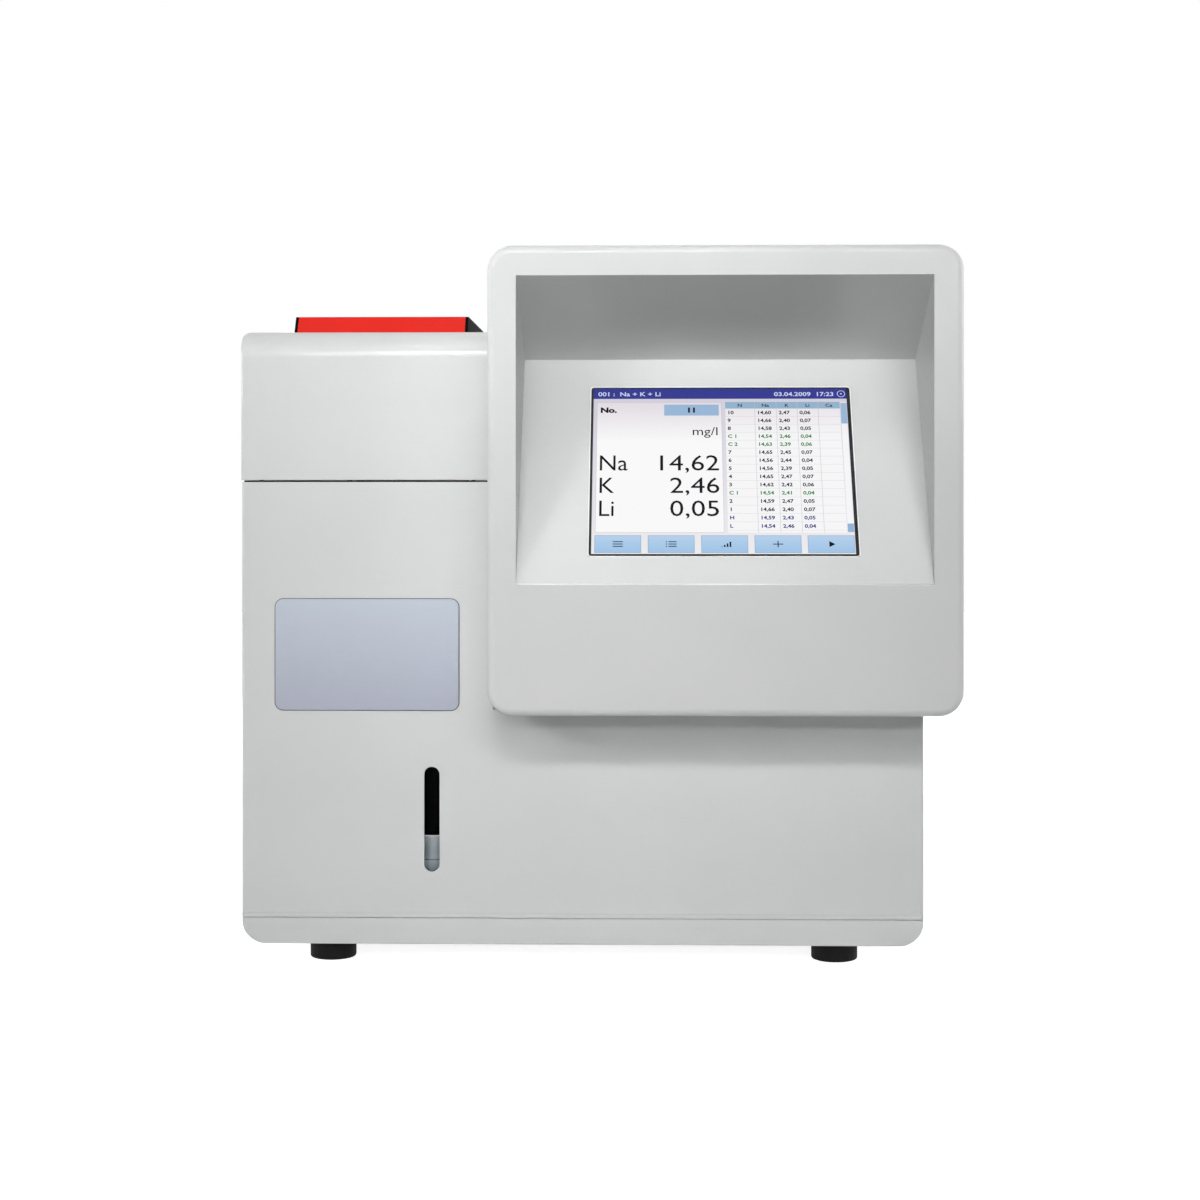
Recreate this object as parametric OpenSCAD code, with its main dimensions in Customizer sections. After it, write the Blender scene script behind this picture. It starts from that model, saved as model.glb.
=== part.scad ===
// Bench flame photometer with a raised display head and a lifting flame cover.
// Millimetres. X runs to the right, Y away from the viewer, Z up from the bench.
// The origin is on the bench, under the middle of the whole instrument.

/* [Body] */
// Width of the body across its sides
body_w = 418.6; // [405:0.2:440]
// Depth of the body from its front face to its rear edge
body_d = 300; // [290:1:330]
// Width of the left column
column_w = 154.8; // [150:0.2:165]
// Height of the left column's rim above the tray
column_rise = 267.3; // [262:0.1:280]
// Height of the right-hand deck above the tray
deck_rise = 127.6; // [125:0.1:135]
// Thickness of the housing's walls
wall = 3; // [2.5:0.5:4]
// Rounding of the upright edges
edge_r = 2; // [1:0.5:5]
// Height of the raised band along the housing's lower edge
band_h = 2.4; // [1.5:0.1:4]
// How far the raised band stands proud
band_proud = 0.4; // [0.2:0.1:0.5]

/* [Base tray] */
// Height of the tray above the feet
tray_h = 16.7; // [15:0.1:22]
// Radius of the tray's two lower corners, seen from the front
tray_corner_r = 15.4; // [8:0.1:16]
// Rounding of the tray's lower front and rear edges
tray_edge_r = 1; // [0.5:0.5:4]
// Thickness of the tray's floor
tray_floor = 3; // [2:0.5:4]
// Height of the dark seam between tray and housing
seam_gap = 0.6; // [0.4:0.1:1]
// Depth of the seam
seam_depth = 1.2; // [0.8:0.1:1.6]
// Height of the rim that centres the housing
rim_h = 5; // [3:0.5:7]
// Thickness of that rim
rim_t = 1.6; // [1.2:0.1:2.4]

/* [Feet] */
// Height of a foot
foot_h = 14; // [10:0.5:18]
// Radius of a foot
foot_r = 14.4; // [11:0.5:17]
// Distance of a foot's centre from the body's side
foot_inset_x = 52; // [40:1:60]
// Distance of a foot's centre from the body's front or rear
foot_inset_y = 32; // [28:1:45]
// Radius of the foot screw's shank
foot_screw_r = 2; // [1.5:0.5:2.5]
// Depth to which the foot screw's head is sunk
foot_sink = 6; // [4:0.5:8]

/* [Display head] */
// Height of the head
head_h = 276; // [272:0.5:284]
// Depth of the head
head_d = 330; // [310:1:340]
// Distance that the head stands in front of the body
head_reach = 60; // [45:1:70]
// Distance that the head stands out past the body's right side
head_overhang = 16; // [10:0.5:22]
// Radius of the head's corners, seen from the front
head_corner_r = 14.6; // [10:0.2:18]
// Rounding of the head's front edge
head_edge_r = 5; // [3:0.5:7]
// Thickness of the head's walls
head_wall = 4; // [3:0.5:5]
// Depth of the front moulding
bezel_d = 112; // [110:1:125]
// Gap between the head and the deck under it, filled by the seat
seat_t = 2; // [1.5:0.5:4]
// Gap between the head and the column
side_gap = 1; // [0.8:0.1:2]

/* [Recess] */
// Height of the recess at the front
recess_h = 181.2; // [176:0.2:186]
// Frame left of the recess
recess_left = 17; // [14:0.2:20]
// Frame right of the recess
recess_right = 17.8; // [14:0.2:20]
// Frame above the recess
recess_top = 17.9; // [16:0.1:22]
// Depth of the recess where the panel meets the ceiling
apex_d = 88; // [82:0.5:90]
// Drop of the recess's ceiling from the front to that line
apex_drop = 43.7; // [38:0.1:46]

/* [Display] */
// Width of the display's surround
screen_w = 159.6; // [150:0.2:166]
// Height of the display's surround, along the panel
screen_h = 122; // [112:0.5:126]
// Distance from the recess's lower edge up the panel to the surround
screen_rise = 19.8; // [16:0.2:22]
// Width of the dark surround
surround_t = 1.6; // [1.2:0.1:2.4]
// Thickness of the touch glass
glass_t = 2; // [1.5:0.1:3]
// How far the touch glass lies under the panel's surface
glass_sink = 0.4; // [0.2:0.1:0.8]
// Thickness of the display module
module_t = 12; // [9:0.5:13]
// Width of the surround's flange behind the panel
flange_w = 4; // [3:0.5:5]
// Thickness of that flange
flange_t = 1.5; // [1:0.1:2]
// Thickness of the sheet-metal bracket behind the module
bracket_t = 1.5; // [1:0.1:2]

/* [Flame cover] */
// Height of the cover
cover_h = 92; // [88:0.1:100]
// Gap between the cover and the column's rim
cover_gap = 1.2; // [1:0.1:2]
// How far the cover stands proud of the column at the left and the front
cover_proud = 0.5; // [0.4:0.1:1]
// Rounding of the cover's upper front and rear edges
cover_edge_r = 17; // [12:0.5:22]
// Rounding of the cover's upper left and right edges
cover_side_r = 4.5; // [3.5:0.5:7]
// Thickness of the cover's walls
cover_wall = 3; // [2.5:0.5:3.5]
// Thickness of the heat shield
shield_t = 1; // [0.8:0.1:1.5]
// Distance from the cover's top to the heat shield
shield_drop = 8; // [6:0.5:9]

/* [Chimney] */
// Width of the chimney between its cheeks
chimney_w = 107; // [100:0.5:112]
// Length of the chimney's level top, front to rear
chimney_d = 120; // [114:0.5:126]
// Height of the chimney above the cover
chimney_h = 13; // [12:0.1:18]
// Distance from the body's front to the chimney's upper front edge
chimney_back = 55; // [50:0.5:60]
// Distance from the body's left side to the chimney
chimney_inset = 24.4; // [22:0.2:27]
// Angle at which the red front plate leans back
chimney_lean = 32; // [20:1:40]
// Thickness of the red sheet
hood_t = 1.5; // [1:0.1:2]
// Thickness of the black cheeks
cheek_t = 1.9; // [1.5:0.1:2.5]
// Width of the opening for hot gas in the cover
duct_w = 90; // [82:1:94]
// Number of slots in the chimney's top
chimney_slots = 9; // [5:1:11]
// Width of one slot
chimney_slot_w = 4; // [3:0.1:4]

/* [Front details] */
// Width of the name plate
plate_w = 113; // [100:0.5:118]
// Height of the name plate
plate_h = 68.2; // [60:0.2:72]
// Thickness of the name plate
plate_t = 0.8; // [0.5:0.1:1.5]
// Radius of the name plate's corners
plate_r = 5; // [3:0.5:8]
// Distance from the body's left side to the name plate
plate_left = 20.9; // [16:0.1:24]
// Distance from the tray to the name plate
plate_rise = 127.2; // [120:0.2:135]
// Width of the sight slot
slot_w = 9.6; // [8:0.1:12]
// Height of the sight slot
slot_h = 64.5; // [56:0.5:70]
// Distance from the body's left side to the slot's middle
slot_left = 117.3; // [112:0.1:121]
// Distance from the tray to the slot's lower end
slot_rise = 27.9; // [26:0.1:34]

/* [Siphon] */
// Radius of the siphon vessel
vessel_r = 11; // [9:0.5:12]
// Thickness of the vessel's glass
vessel_t = 1.5; // [1:0.1:2]
// How far the vessel reaches past the slot's ends
vessel_over = 14; // [10:0.5:16]
// Thickness of the window's flange
window_t = 2; // [1.5:0.5:3]
// Thickness of the vessel's bracket
channel_t = 1.5; // [1:0.1:2]

/* [Burner] */
// Height of the flame deck above the tray
deck_level = 205.3; // [200:0.5:212]
// Thickness of the flame deck
deck_t = 2; // [1.5:0.1:3]
// Radius of the mixing chamber
chamber_r = 26; // [22:0.5:28]
// Length of the mixing chamber
chamber_l = 84; // [76:1:88]
// Clear height between the chamber and the flame deck
chamber_drop = 15; // [12:0.5:20]
// Thickness of the mixing chamber's wall
chamber_t = 4; // [3:0.5:5]
// Outer radius of the burner stem
stem_r = 10; // [8:0.5:12]
// Thickness of the burner stem's wall
stem_t = 3; // [2:0.5:4]
// Height of the burner head's foot above the flame deck
burner_rise = 26; // [22:0.5:30]
// Outer radius of the burner head
burner_r = 18; // [15:0.5:19]
// Height of the burner head
burner_h = 24; // [20:0.5:28]
// Radius of one flame hole
flame_hole_r = 0.9; // [0.6:0.1:1.2]
// Outer radius of the flame tube
tube_r = 30; // [28:0.5:33]
// Thickness of the flame tube's glass
tube_t = 2; // [1.5:0.1:2.5]
// Height of the flame tube
tube_h = 124; // [110:1:128]
// Height of the flame tube's seat
tube_seat_h = 12; // [9:0.5:15]
// Radius of the igniter's ceramic
igniter_r = 2; // [1.5:0.1:2.5]
// Height of the igniter's ceramic
igniter_h = 46; // [40:1:50]
// Radius of the sample port on the left side
port_r = 9; // [7:0.5:11]
// Radius of the sample capillary's hole
capillary_r = 1; // [0.6:0.1:1.5]

/* [Optics] */
// Width of the optics block
optics_w = 76; // [72:1:82]
// Depth of the optics block
optics_d = 50; // [44:1:56]
// Height of the optics block
optics_h = 56; // [52:1:60]
// Distance from the flame to the block's front
optics_back = 48; // [44:0.5:56]
// Height of the block's foot above the flame deck
optics_rise = 40; // [34:0.5:44]
// Spacing of the four lens barrels
barrel_pitch = 30; // [26:0.5:32]
// Outer radius of a lens barrel
barrel_r = 10; // [8:0.5:11]
// Thickness of a lens barrel's wall
barrel_t = 1.5; // [1:0.1:2]
// How far a barrel stands out of the block
barrel_out = 9; // [6:0.5:10]
// Thickness of an optical filter
filter_t = 3; // [2:0.5:5]
// Thickness of a circuit board
board_t = 1.6; // [1:0.1:2]

/* [Gas, air and drain] */
// Height of the gas and air inlets above the tray
inlet_rise = 54.3; // [46:0.1:60]
// Distance from the body's left side to the gas inlet
gas_left = 32; // [28:0.5:38]
// Distance between the gas inlet and the air inlet
inlet_pitch = 38; // [34:0.5:44]
// Radius of the gas nipple
gas_nipple_r = 4; // [3:0.1:5]
// Radius of the hole in the air inlet
air_bore_r = 3.05; // [2:0.05:4]
// Radius of the drain nipple
drain_nipple_r = 5; // [4:0.1:6]
// Length of a nipple outside the rear panel
nipple_l = 22; // [18:0.5:24]
// Outer radius of the inner tubes
hose_r = 3; // [2.5:0.5:4]

/* [Mains inlet] */
// Distance from the body's right side to the mains inlet's middle
inlet_right = 40; // [34:0.5:50]
// Height of the mains module above the tray
module_rise = 24; // [20:0.5:30]
// Width of the mains module's flange
inlet_w = 32; // [30:0.5:36]
// Height of the mains module's flange
inlet_h = 68; // [66:0.5:72]
// Thickness of the mains module's flange
inlet_flange = 3; // [2:0.5:4]
// Depth of the mains module behind the panel
inlet_depth = 30; // [26:0.5:34]
// Length of the rocker's bay
rocker_bay = 14.4; // [13:0.1:16]
// Swing of the mains rocker from off to on
rocker_swing = 16; // [12:1:18]
// Height of the fuse drawer
drawer_h = 8.8; // [8:0.1:10]
// Length of the fuse drawer
drawer_l = 22; // [20:0.5:24]

/* [Fan] */
// Side of the fan's square frame
fan_side = 80; // [76:0.5:86]
// Depth of the fan
fan_d = 25; // [24:0.5:28]
// Radius of the fan's hub
fan_hub_r = 18; // [16:0.5:20]
// Radius of the fan's shaft
fan_shaft_r = 1.5; // [1:0.1:2]
// Distance from the body's right side to the fan's middle
fan_right = 122; // [112:1:130]
// Number of blades
fan_blades = 7; // [5:1:9]
// Radius of a guard wire
guard_wire_r = 0.9; // [0.7:0.1:1.1]
// Number of guard rings
guard_rings = 6; // [4:1:6]

/* [Hinges] */
// Outer radius of a hinge knuckle
knuckle_r = 3.2; // [2.6:0.1:4]
// Radius of a hinge pin
pin_r = 1.5; // [1:0.1:1.8]
// Width of a hinge
hinge_w = 36; // [30:0.5:44]
// Length of a hinge leaf below or above its knuckle
leaf_l = 20; // [15:0.5:24]
// Thickness of a hinge leaf
leaf_t = 1.5; // [1:0.1:2]
// Distance from the column's sides to a hinge
hinge_inset = 18; // [12:0.5:26]

/* [Clearances] */
// Running clearance of a pin in its bore
pin_play = 0.05; // [0.02:0.01:0.08]
// Clearance between fitted pieces
fit = 0.3; // [0.2:0.05:0.4]

/* [Hidden] */
$fn = 64;
eps = 0.01;
cut = 1;
elbow_t = 0.4;

// Colours
shell_grey = [0.83, 0.84, 0.83];
dark_grey = [0.2, 0.2, 0.21];
black = [0.06, 0.06, 0.06];
steel = [0.7, 0.71, 0.73];
brass = [0.8, 0.65, 0.3];
clear = [0.75, 0.85, 0.88, 0.4];
red = [0.88, 0.14, 0.08];
board_green = [0.1, 0.4, 0.22];

// Places in X
whole_w = cover_proud + body_w + head_overhang;
body_x0 = cover_proud - whole_w / 2;
body_x1 = body_x0 + body_w;
column_x1 = body_x0 + column_w;
head_x0 = column_x1 + side_gap;
head_x1 = body_x1 + head_overhang;
head_w = head_x1 - head_x0;
recess_w = head_w - recess_left - recess_right;
chimney_x0 = body_x0 + chimney_inset;
flame_x = chimney_x0 + cheek_t + chimney_w / 2;
slot_x = body_x0 + slot_left;
gas_x = body_x0 + gas_left;
air_x = gas_x + inlet_pitch;
power_x = body_x1 - inlet_right;
fan_x = body_x1 - fan_right;

// Places in Y
whole_d = head_reach + body_d + nipple_l;
head_y0 = -whole_d / 2;
body_y0 = head_y0 + head_reach;
body_y1 = body_y0 + body_d;
head_y1 = head_y0 + head_d;
seam_y = head_y0 + bezel_d;
chimney_y0 = body_y0 + chimney_back;
flame_y = chimney_y0 + chimney_d / 2;
panel_t = 2;
panel_y = body_y1 - panel_t;

// Places in Z
tray_z = foot_h;
housing_z = tray_z + tray_h;
floor_z = tray_z + tray_floor;
deck_z = housing_z + deck_rise;
column_z = housing_z + column_rise;
cover_z = column_z + cover_gap;
cover_top = cover_z + cover_h;
head_z = deck_z + seat_t;
head_top = head_z + head_h;
flame_deck_z = housing_z + deck_level;
inlets_z = housing_z + inlet_rise;
slot_z = housing_z + slot_rise;

// --- Helpers

// Repeats its children at places given in X and Z, all at one y
module upright_places(places, y) {
    for (p = places) translate([p[0], y, p[1]]) children();
}

// Repeats its children at places given in X and Y, all at one z
module level_places(places, z) {
    for (p = places) translate([p[0], p[1], z]) children();
}

// Gives an outline of X and Z a depth along Y
module along_y(d) {
    translate([0, d, 0]) rotate([90, 0, 0]) linear_extrude(d) children();
}

// Gives an outline of Y and Z a length along X
module along_x(l) {
    rotate([90, 0, 90]) linear_extrude(l) children();
}

// A cylinder that lies along Y, from y = 0 to y = l
module rod_y(r, l) {
    rotate([-90, 0, 0]) cylinder(r = r, h = l);
}

// A cylinder that lies along X, from x = 0 to x = l
module rod_x(r, l) {
    rotate([0, 90, 0]) cylinder(r = r, h = l);
}

// Rectangle with four rounded corners, its lower left corner at the origin
module round_rect(w, h, r) {
    translate([r, 0]) square([w - 2 * r, h]);
    translate([0, r]) square([w, h - 2 * r]);
    for (x = [r, w - r], y = [r, h - r]) translate([x, y]) circle(r);
}

// Rectangle rounded at its two lower corners only
module cup_rect(w, h, r) {
    translate([0, r]) square([w, h - r]);
    translate([r, 0]) square([w - 2 * r, h]);
    for (x = [r, w - r]) translate([x, r]) circle(r);
}

// Rectangle rounded at its two upper corners only
module cap_rect(w, h, r) {
    translate([0, h]) mirror([0, 1]) cup_rect(w, h, r);
}

// Upright slot with round ends, its lower end at the origin
module slot_outline(w, h) {
    translate([-w / 2, w / 2]) square([w, h - w]);
    for (y = [w / 2, h - w / 2]) translate([0, y]) circle(w / 2);
}

// Pan-head screw along +Z, its head's underside at z = 0 and its head below
module pan_screw(r, l) {
    head_r = 1.9 * r;
    head_h = 1.1 * r;
    difference() {
        union() {
            cylinder(r = r, h = l);
            translate([0, 0, -head_h]) cylinder(r1 = 0.8 * head_r, r2 = head_r, h = head_h);
        }
        translate([0, 0, -head_h - eps]) cylinder(r = 0.5 * head_r, h = 0.6 * head_h, $fn = 6);
    }
}

// Tube along straight runs, with a ball-shaped elbow at each turn
module hose(points, r) {
    for (i = [0 : len(points) - 2]) {
        run = points[i + 1] - points[i];
        length = norm(run);
        turn = atan2(run[1], run[0]);
        fall = acos(run[2] / length);
        translate(points[i]) rotate([0, fall, turn]) cylinder(r = r, h = length);
    }
    for (i = [1 : len(points) - 2]) translate(points[i]) sphere(r + elbow_t);
}

// --- Base tray and feet

tray_rib_h = tray_h - tray_floor;
foot_boss_r = foot_screw_r + 4;
board_x = body_x1 - 196;
board_y = body_y1 - 168;
board_w = 110;
board_d = 158;
board_boss_h = tray_h - tray_floor + 2;
board_boss_inset = 6;

function foot_places() = [for (x = [body_x0 + foot_inset_x, body_x1 - foot_inset_x],
    y = [body_y0 + foot_inset_y, body_y1 - foot_inset_y]) [x, y]];

function board_places() = [for (x = [board_boss_inset, board_w - board_boss_inset],
    y = [board_boss_inset, board_d - board_boss_inset]) [board_x + x, board_y + y]];

// The tray's outer form: large lower corners, softened front and rear edges
module tray_form() {
    translate([body_x0, body_y0, tray_z]) intersection() {
        along_y(body_d) cup_rect(body_w, tray_h, tray_corner_r);
        along_x(body_w) cup_rect(body_d, tray_h, tray_edge_r);
        linear_extrude(tray_h) round_rect(body_w, body_d, edge_r);
    }
}

module tray_hollow() {
    in_w = body_w - 2 * wall;
    in_d = body_d - 2 * wall;
    corner = tray_corner_r - wall;
    translate([body_x0 + wall, body_y0 + wall, floor_z]) along_y(in_d) cup_rect(in_w, tray_h + cut, corner);
}

// Row of intake slots across the tray's floor
module tray_slots() {
    slot_l = 60;
    pitch = 9;
    count = 12;
    for (side = [0, 1], i = [0 : count - 1]) {
        x = (side == 0) ? body_x0 + foot_inset_x + 2 * foot_r : body_x1 - foot_inset_x - 2 * foot_r - count * pitch;
        translate([x + i * pitch, body_y0 + 2 * foot_inset_y, tray_z - cut])
            linear_extrude(tray_floor + 2 * cut) slot_outline(wall, slot_l);
    }
}

// Thin groove that shows as a dark line round the top of the tray
module tray_seam() {
    translate([0, 0, housing_z - seam_gap]) linear_extrude(seam_gap + cut) difference() {
        translate([body_x0 - cut, body_y0 - cut]) square([body_w + 2 * cut, body_d + 2 * cut]);
        translate([body_x0 + seam_depth, body_y0 + seam_depth])
            round_rect(body_w - 2 * seam_depth, body_d - 2 * seam_depth, edge_r - seam_depth + eps);
    }
}

// Upstanding rim at the front and the sides that centres the housing
module tray_rim() {
    gap = wall + fit;
    out_w = body_w - 2 * gap;
    out_d = body_d - 2 * gap - panel_t;
    translate([body_x0 + gap, body_y0 + gap, floor_z]) difference() {
        cube([out_w, out_d, tray_rib_h + rim_h]);
        translate([rim_t, rim_t, -cut]) cube([out_w - 2 * rim_t, out_d, tray_rib_h + rim_h + 2 * cut]);
    }
}

module base_tray() {
    color(shell_grey) difference() {
        union() {
            difference() {
                tray_form();
                tray_hollow();
            }
            intersection() {
                tray_rim();
                translate([body_x0 + tray_corner_r / 2, body_y0, tray_z])
                    cube([body_w - tray_corner_r, body_d, 2 * tray_h]);
                union() {
                    tray_form();
                    translate([body_x0, body_y0, housing_z]) cube([body_w, body_d, rim_h]);
                }
            }
            level_places(foot_places(), tray_z) cylinder(r = foot_boss_r, h = tray_h - fit);
            level_places(board_places(), tray_z) cylinder(r = 4, h = tray_floor + board_boss_h);
        }
        tray_seam();
        tray_slots();
        level_places(foot_places(), tray_z - cut)
            cylinder(r = foot_screw_r + pin_play, h = tray_h + 2 * cut);
    }
}

module foot() {
    rounding = 1.5;
    sink_r = 2 * foot_screw_r + 1;
    color(black) difference() {
        rotate_extrude() difference() {
            union() {
                translate([0, rounding]) square([foot_r, foot_h - rounding]);
                square([foot_r - rounding, foot_h]);
                translate([foot_r - rounding, rounding]) circle(rounding);
            }
            translate([-foot_r, -cut]) square([foot_r, foot_h + 2 * cut]);
        }
        translate([0, 0, -cut]) cylinder(r = sink_r, h = foot_sink + cut);
        translate([0, 0, -cut]) cylinder(r = foot_screw_r + pin_play, h = foot_h + 2 * cut);
    }
}

module foot_at(i) {
    p = foot_places()[i];
    translate([p[0], p[1], 0]) foot();
}

module foot_screws() {
    grip = foot_h - foot_sink + tray_h - wall;
    color(steel) level_places(foot_places(), foot_sink) pan_screw(foot_screw_r, grip);
}

// --- Main housing

rail_w = 6;
rail_d = body_d - 2 * wall - 30;
panel_boss = 10;
panel_boss_d = 12;
panel_screw_r = 1.6;
gland_r = 16;
gland_x = head_x1 - 60;
gland_y = seam_y + 60;
head_bolt_inset = 34;

// Places of the rear panel's screws, inside the housing's corners
function panel_places() = let (in = wall + panel_boss / 2)
    [[body_x0 + in, housing_z + 12], [body_x1 - in, housing_z + 12],
    [body_x1 - in, deck_z - in], [column_x1 + 20, deck_z - in],
    [body_x0 + in, column_z - in], [column_x1 - in, column_z - in], [body_x0 + in, deck_z]];

// Places of the bolts that hold the head down on the deck
function head_bolt_places() = [for (x = [head_x0 + head_bolt_inset, body_x1 - head_bolt_inset],
    y = [body_y0 + head_bolt_inset, head_y1 - head_bolt_inset]) [x, y]];

// Front outline of the housing: tall column at the left, low part at the right
module housing_outline(inset) {
    translate([body_x0 + inset, housing_z - cut]) square([column_w - 2 * inset, column_rise + cut + inset]);
    translate([body_x0 + inset, housing_z - cut]) square([body_w - 2 * inset, deck_rise + cut - inset]);
}

module housing_form() {
    intersection() {
        translate([body_x0, body_y0, housing_z]) linear_extrude(column_rise) round_rect(body_w, body_d, edge_r);
        translate([0, body_y0 - cut, 0]) along_y(body_d + 2 * cut) housing_outline(0);
    }
}

// Raised band along the lower edge of the front
module housing_band() {
    translate([body_x0, body_y0 - band_proud, housing_z]) linear_extrude(band_h)
        round_rect(body_w, body_d + band_proud, edge_r);
}

module housing_hollow() {
    translate([0, body_y0 + wall, 0]) along_y(body_d) housing_outline(wall);
}

module main_housing() {
    color(shell_grey) difference() {
        union() {
            difference() {
                union() {
                    housing_form();
                    housing_band();
                }
                housing_hollow();
            }
            upright_places(panel_places(), panel_y - panel_boss_d) along_y(panel_boss_d)
                square(panel_boss + 2 * eps, center = true);
        }
        translate([slot_x, body_y0 - cut, slot_z]) along_y(wall + 2 * cut) slot_outline(slot_w, slot_h);
        translate([gland_x, gland_y, deck_z - wall - cut]) cylinder(r = gland_r, h = wall + 2 * cut);
        level_places(head_bolt_places(), deck_z - wall - cut)
            cylinder(r = foot_screw_r + fit, h = wall + 2 * cut);
        translate([body_x0 - cut, flame_y, chamber_z]) rod_x(port_r + pin_play, wall + 2 * cut);
        upright_places(panel_places(), panel_y - panel_boss_d - cut)
            rod_y(panel_screw_r + pin_play, panel_boss_d + 2 * cut);
    }
}

// Rails on the column's sides that carry the flame deck
module deck_rails() {
    color(steel) for (x = [body_x0 + wall, column_x1 - wall - rail_w])
        translate([x, body_y0 + wall, flame_deck_z - rail_w]) cube([rail_w, rail_d, rail_w]);
}

// --- Rear panel

module rear_panel() {
    edge = wall + fit;
    color(steel) difference() {
        translate([0, panel_y, 0]) along_y(panel_t) {
            translate([body_x0 + edge, housing_z + fit]) square([column_w - 2 * edge, column_rise - 2 * fit]);
            translate([body_x0 + edge, housing_z + fit]) square([body_w - 2 * edge, deck_rise - edge - fit]);
        }
        upright_places(panel_places(), panel_y - cut)
            rod_y(panel_screw_r + fit, panel_t + 2 * cut);
        translate([fan_x, panel_y - cut, fan_z]) rod_y(fan_side / 2 - 2, panel_t + 2 * cut);
        upright_places(fan_hole_places(), panel_y - cut) rod_y(fan_hole_r, panel_t + 2 * cut);
        translate([power_x - inlet_body_w / 2 - fit, panel_y - cut, module_z + inlet_lip - fit])
            cube([inlet_body_w + 2 * fit, panel_t + 2 * cut, inlet_h - 2 * inlet_lip + 2 * fit]);
        translate([gas_x, panel_y - cut, inlets_z]) rod_y(fitting_thread_r + pin_play, panel_t + 2 * cut);
        translate([air_x, panel_y - cut, inlets_z]) rod_y(fitting_thread_r + pin_play, panel_t + 2 * cut);
        translate([drain_x, panel_y - cut, drain_z]) rod_y(fitting_thread_r + pin_play, panel_t + 2 * cut);
        translate([serial_x - serial_w / 2 - fit, panel_y - cut, sockets_z - fit])
            cube([serial_w + 2 * fit, panel_t + 2 * cut, serial_h + 2 * fit]);
        for (i = [0, 1]) translate([usb_x + i * usb_pitch - fit, panel_y - cut, sockets_z - fit])
            cube([usb_w + 2 * fit, panel_t + 2 * cut, usb_h + 2 * fit]);
    }
}

module panel_screws() {
    color(steel) upright_places(panel_places(), body_y1) rotate([90, 0, 0])
        pan_screw(panel_screw_r, panel_t + panel_boss_d - 2);
}

// --- Name plate, sight window and siphon

module name_plate() {
    color([0.75, 0.76, 0.8]) translate([body_x0 + plate_left, body_y0 - plate_t, housing_z + plate_rise])
        along_y(plate_t) round_rect(plate_w, plate_h, plate_r);
}

vessel_y = body_y0 + wall + window_t + fit + vessel_r;
vessel_z0 = slot_z - vessel_over;
vessel_h = slot_h + 2 * vessel_over;
siphon_nipple_r = hose_r - 0.5;
drain_x = slot_x;
drain_z = vessel_z0 + vessel_t + siphon_nipple_r + 2;
window_lip = 4;

module sight_window() {
    color(clear) {
        translate([slot_x, body_y0 + fit, slot_z + fit]) along_y(wall - fit)
            slot_outline(slot_w - 2 * fit, slot_h - 2 * fit);
        translate([slot_x, body_y0 + wall, slot_z - window_lip]) along_y(window_t)
            slot_outline(slot_w + 2 * window_lip, slot_h + 2 * window_lip);
    }
}

module siphon_vessel() {
    color(clear) difference() {
        union() {
            translate([slot_x, vessel_y, vessel_z0]) cylinder(r = vessel_r, h = vessel_h);
            translate([slot_x, vessel_y + vessel_r - vessel_t, drain_z]) rod_y(siphon_nipple_r, 6);
        }
        translate([slot_x, vessel_y, vessel_z0 + vessel_t]) cylinder(r = vessel_r - vessel_t, h = vessel_h);
        translate([slot_x, vessel_y, drain_z]) rod_y(siphon_nipple_r - 1, vessel_r + 8);
    }
}

// Black channel that carries the vessel and closes the view behind it
module siphon_bracket() {
    in_w = 2 * (vessel_r + fit);
    in_d = window_t + fit + 2 * vessel_r + fit;
    ear = 10;
    out_w = in_w + 2 * channel_t;
    y0 = body_y0 + wall;
    z0 = vessel_z0 - channel_t;
    color(black) difference() {
        union() {
            translate([slot_x - out_w / 2, y0, z0]) cube([out_w, in_d + channel_t, vessel_h + channel_t]);
            for (s = [-1, 1]) translate([slot_x + s * (out_w / 2 + ear / 2) - ear / 2, y0, z0])
                cube([ear, channel_t, vessel_h + channel_t]);
        }
        translate([slot_x - in_w / 2, y0 - cut, vessel_z0]) cube([in_w, in_d + cut, vessel_h + cut]);
        translate([slot_x, y0 + in_d - cut, drain_z]) rod_y(hose_r + 1, channel_t + 2 * cut);
    }
}

// --- Wet side: bulkhead, deck, chamber, burner

chamber_z = flame_deck_z - chamber_drop - chamber_r;
bulkhead_t = 1.5;

module bulkhead() {
    gap = wall + rim_t + 3 * fit;
    length = body_d - gap - panel_t - panel_boss_d - 2 * fit;
    color(steel) translate([column_x1 - wall - bulkhead_t - 2, body_y0 + gap, floor_z])
        difference() {
            union() {
                cube([bulkhead_t, length, deck_z - wall - floor_z]);
                cube([14, length, bulkhead_t]);
            }
            for (y = [60, 160]) translate([-cut, y, 90]) rod_x(9, bulkhead_t + 2 * cut);
        }
}

// Stainless floor of the flame compartment, resting on the housing's rails
module flame_deck() {
    edge = wall + fit;
    depth = rail_d + 20;
    vent_l = 36;
    air_holes = 10;
    color(steel) difference() {
        translate([body_x0 + edge, body_y0 + edge, flame_deck_z]) cube([column_w - 2 * edge, depth, deck_t]);
        translate([flame_x, flame_y, flame_deck_z - cut]) {
            cylinder(r = stem_r + 3 + fit, h = deck_t + 2 * cut);
            for (i = [0 : air_holes - 1]) rotate(i * 360 / air_holes) translate([stem_r + 7, 0, 0])
                cylinder(r = 1.5, h = deck_t + 2 * cut);
        }
        for (i = [-5 : 5]) translate([flame_x + i * 9, body_y0 + 24, flame_deck_z - cut])
            linear_extrude(deck_t + 2 * cut) slot_outline(wall, vent_l);
    }
}

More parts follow.
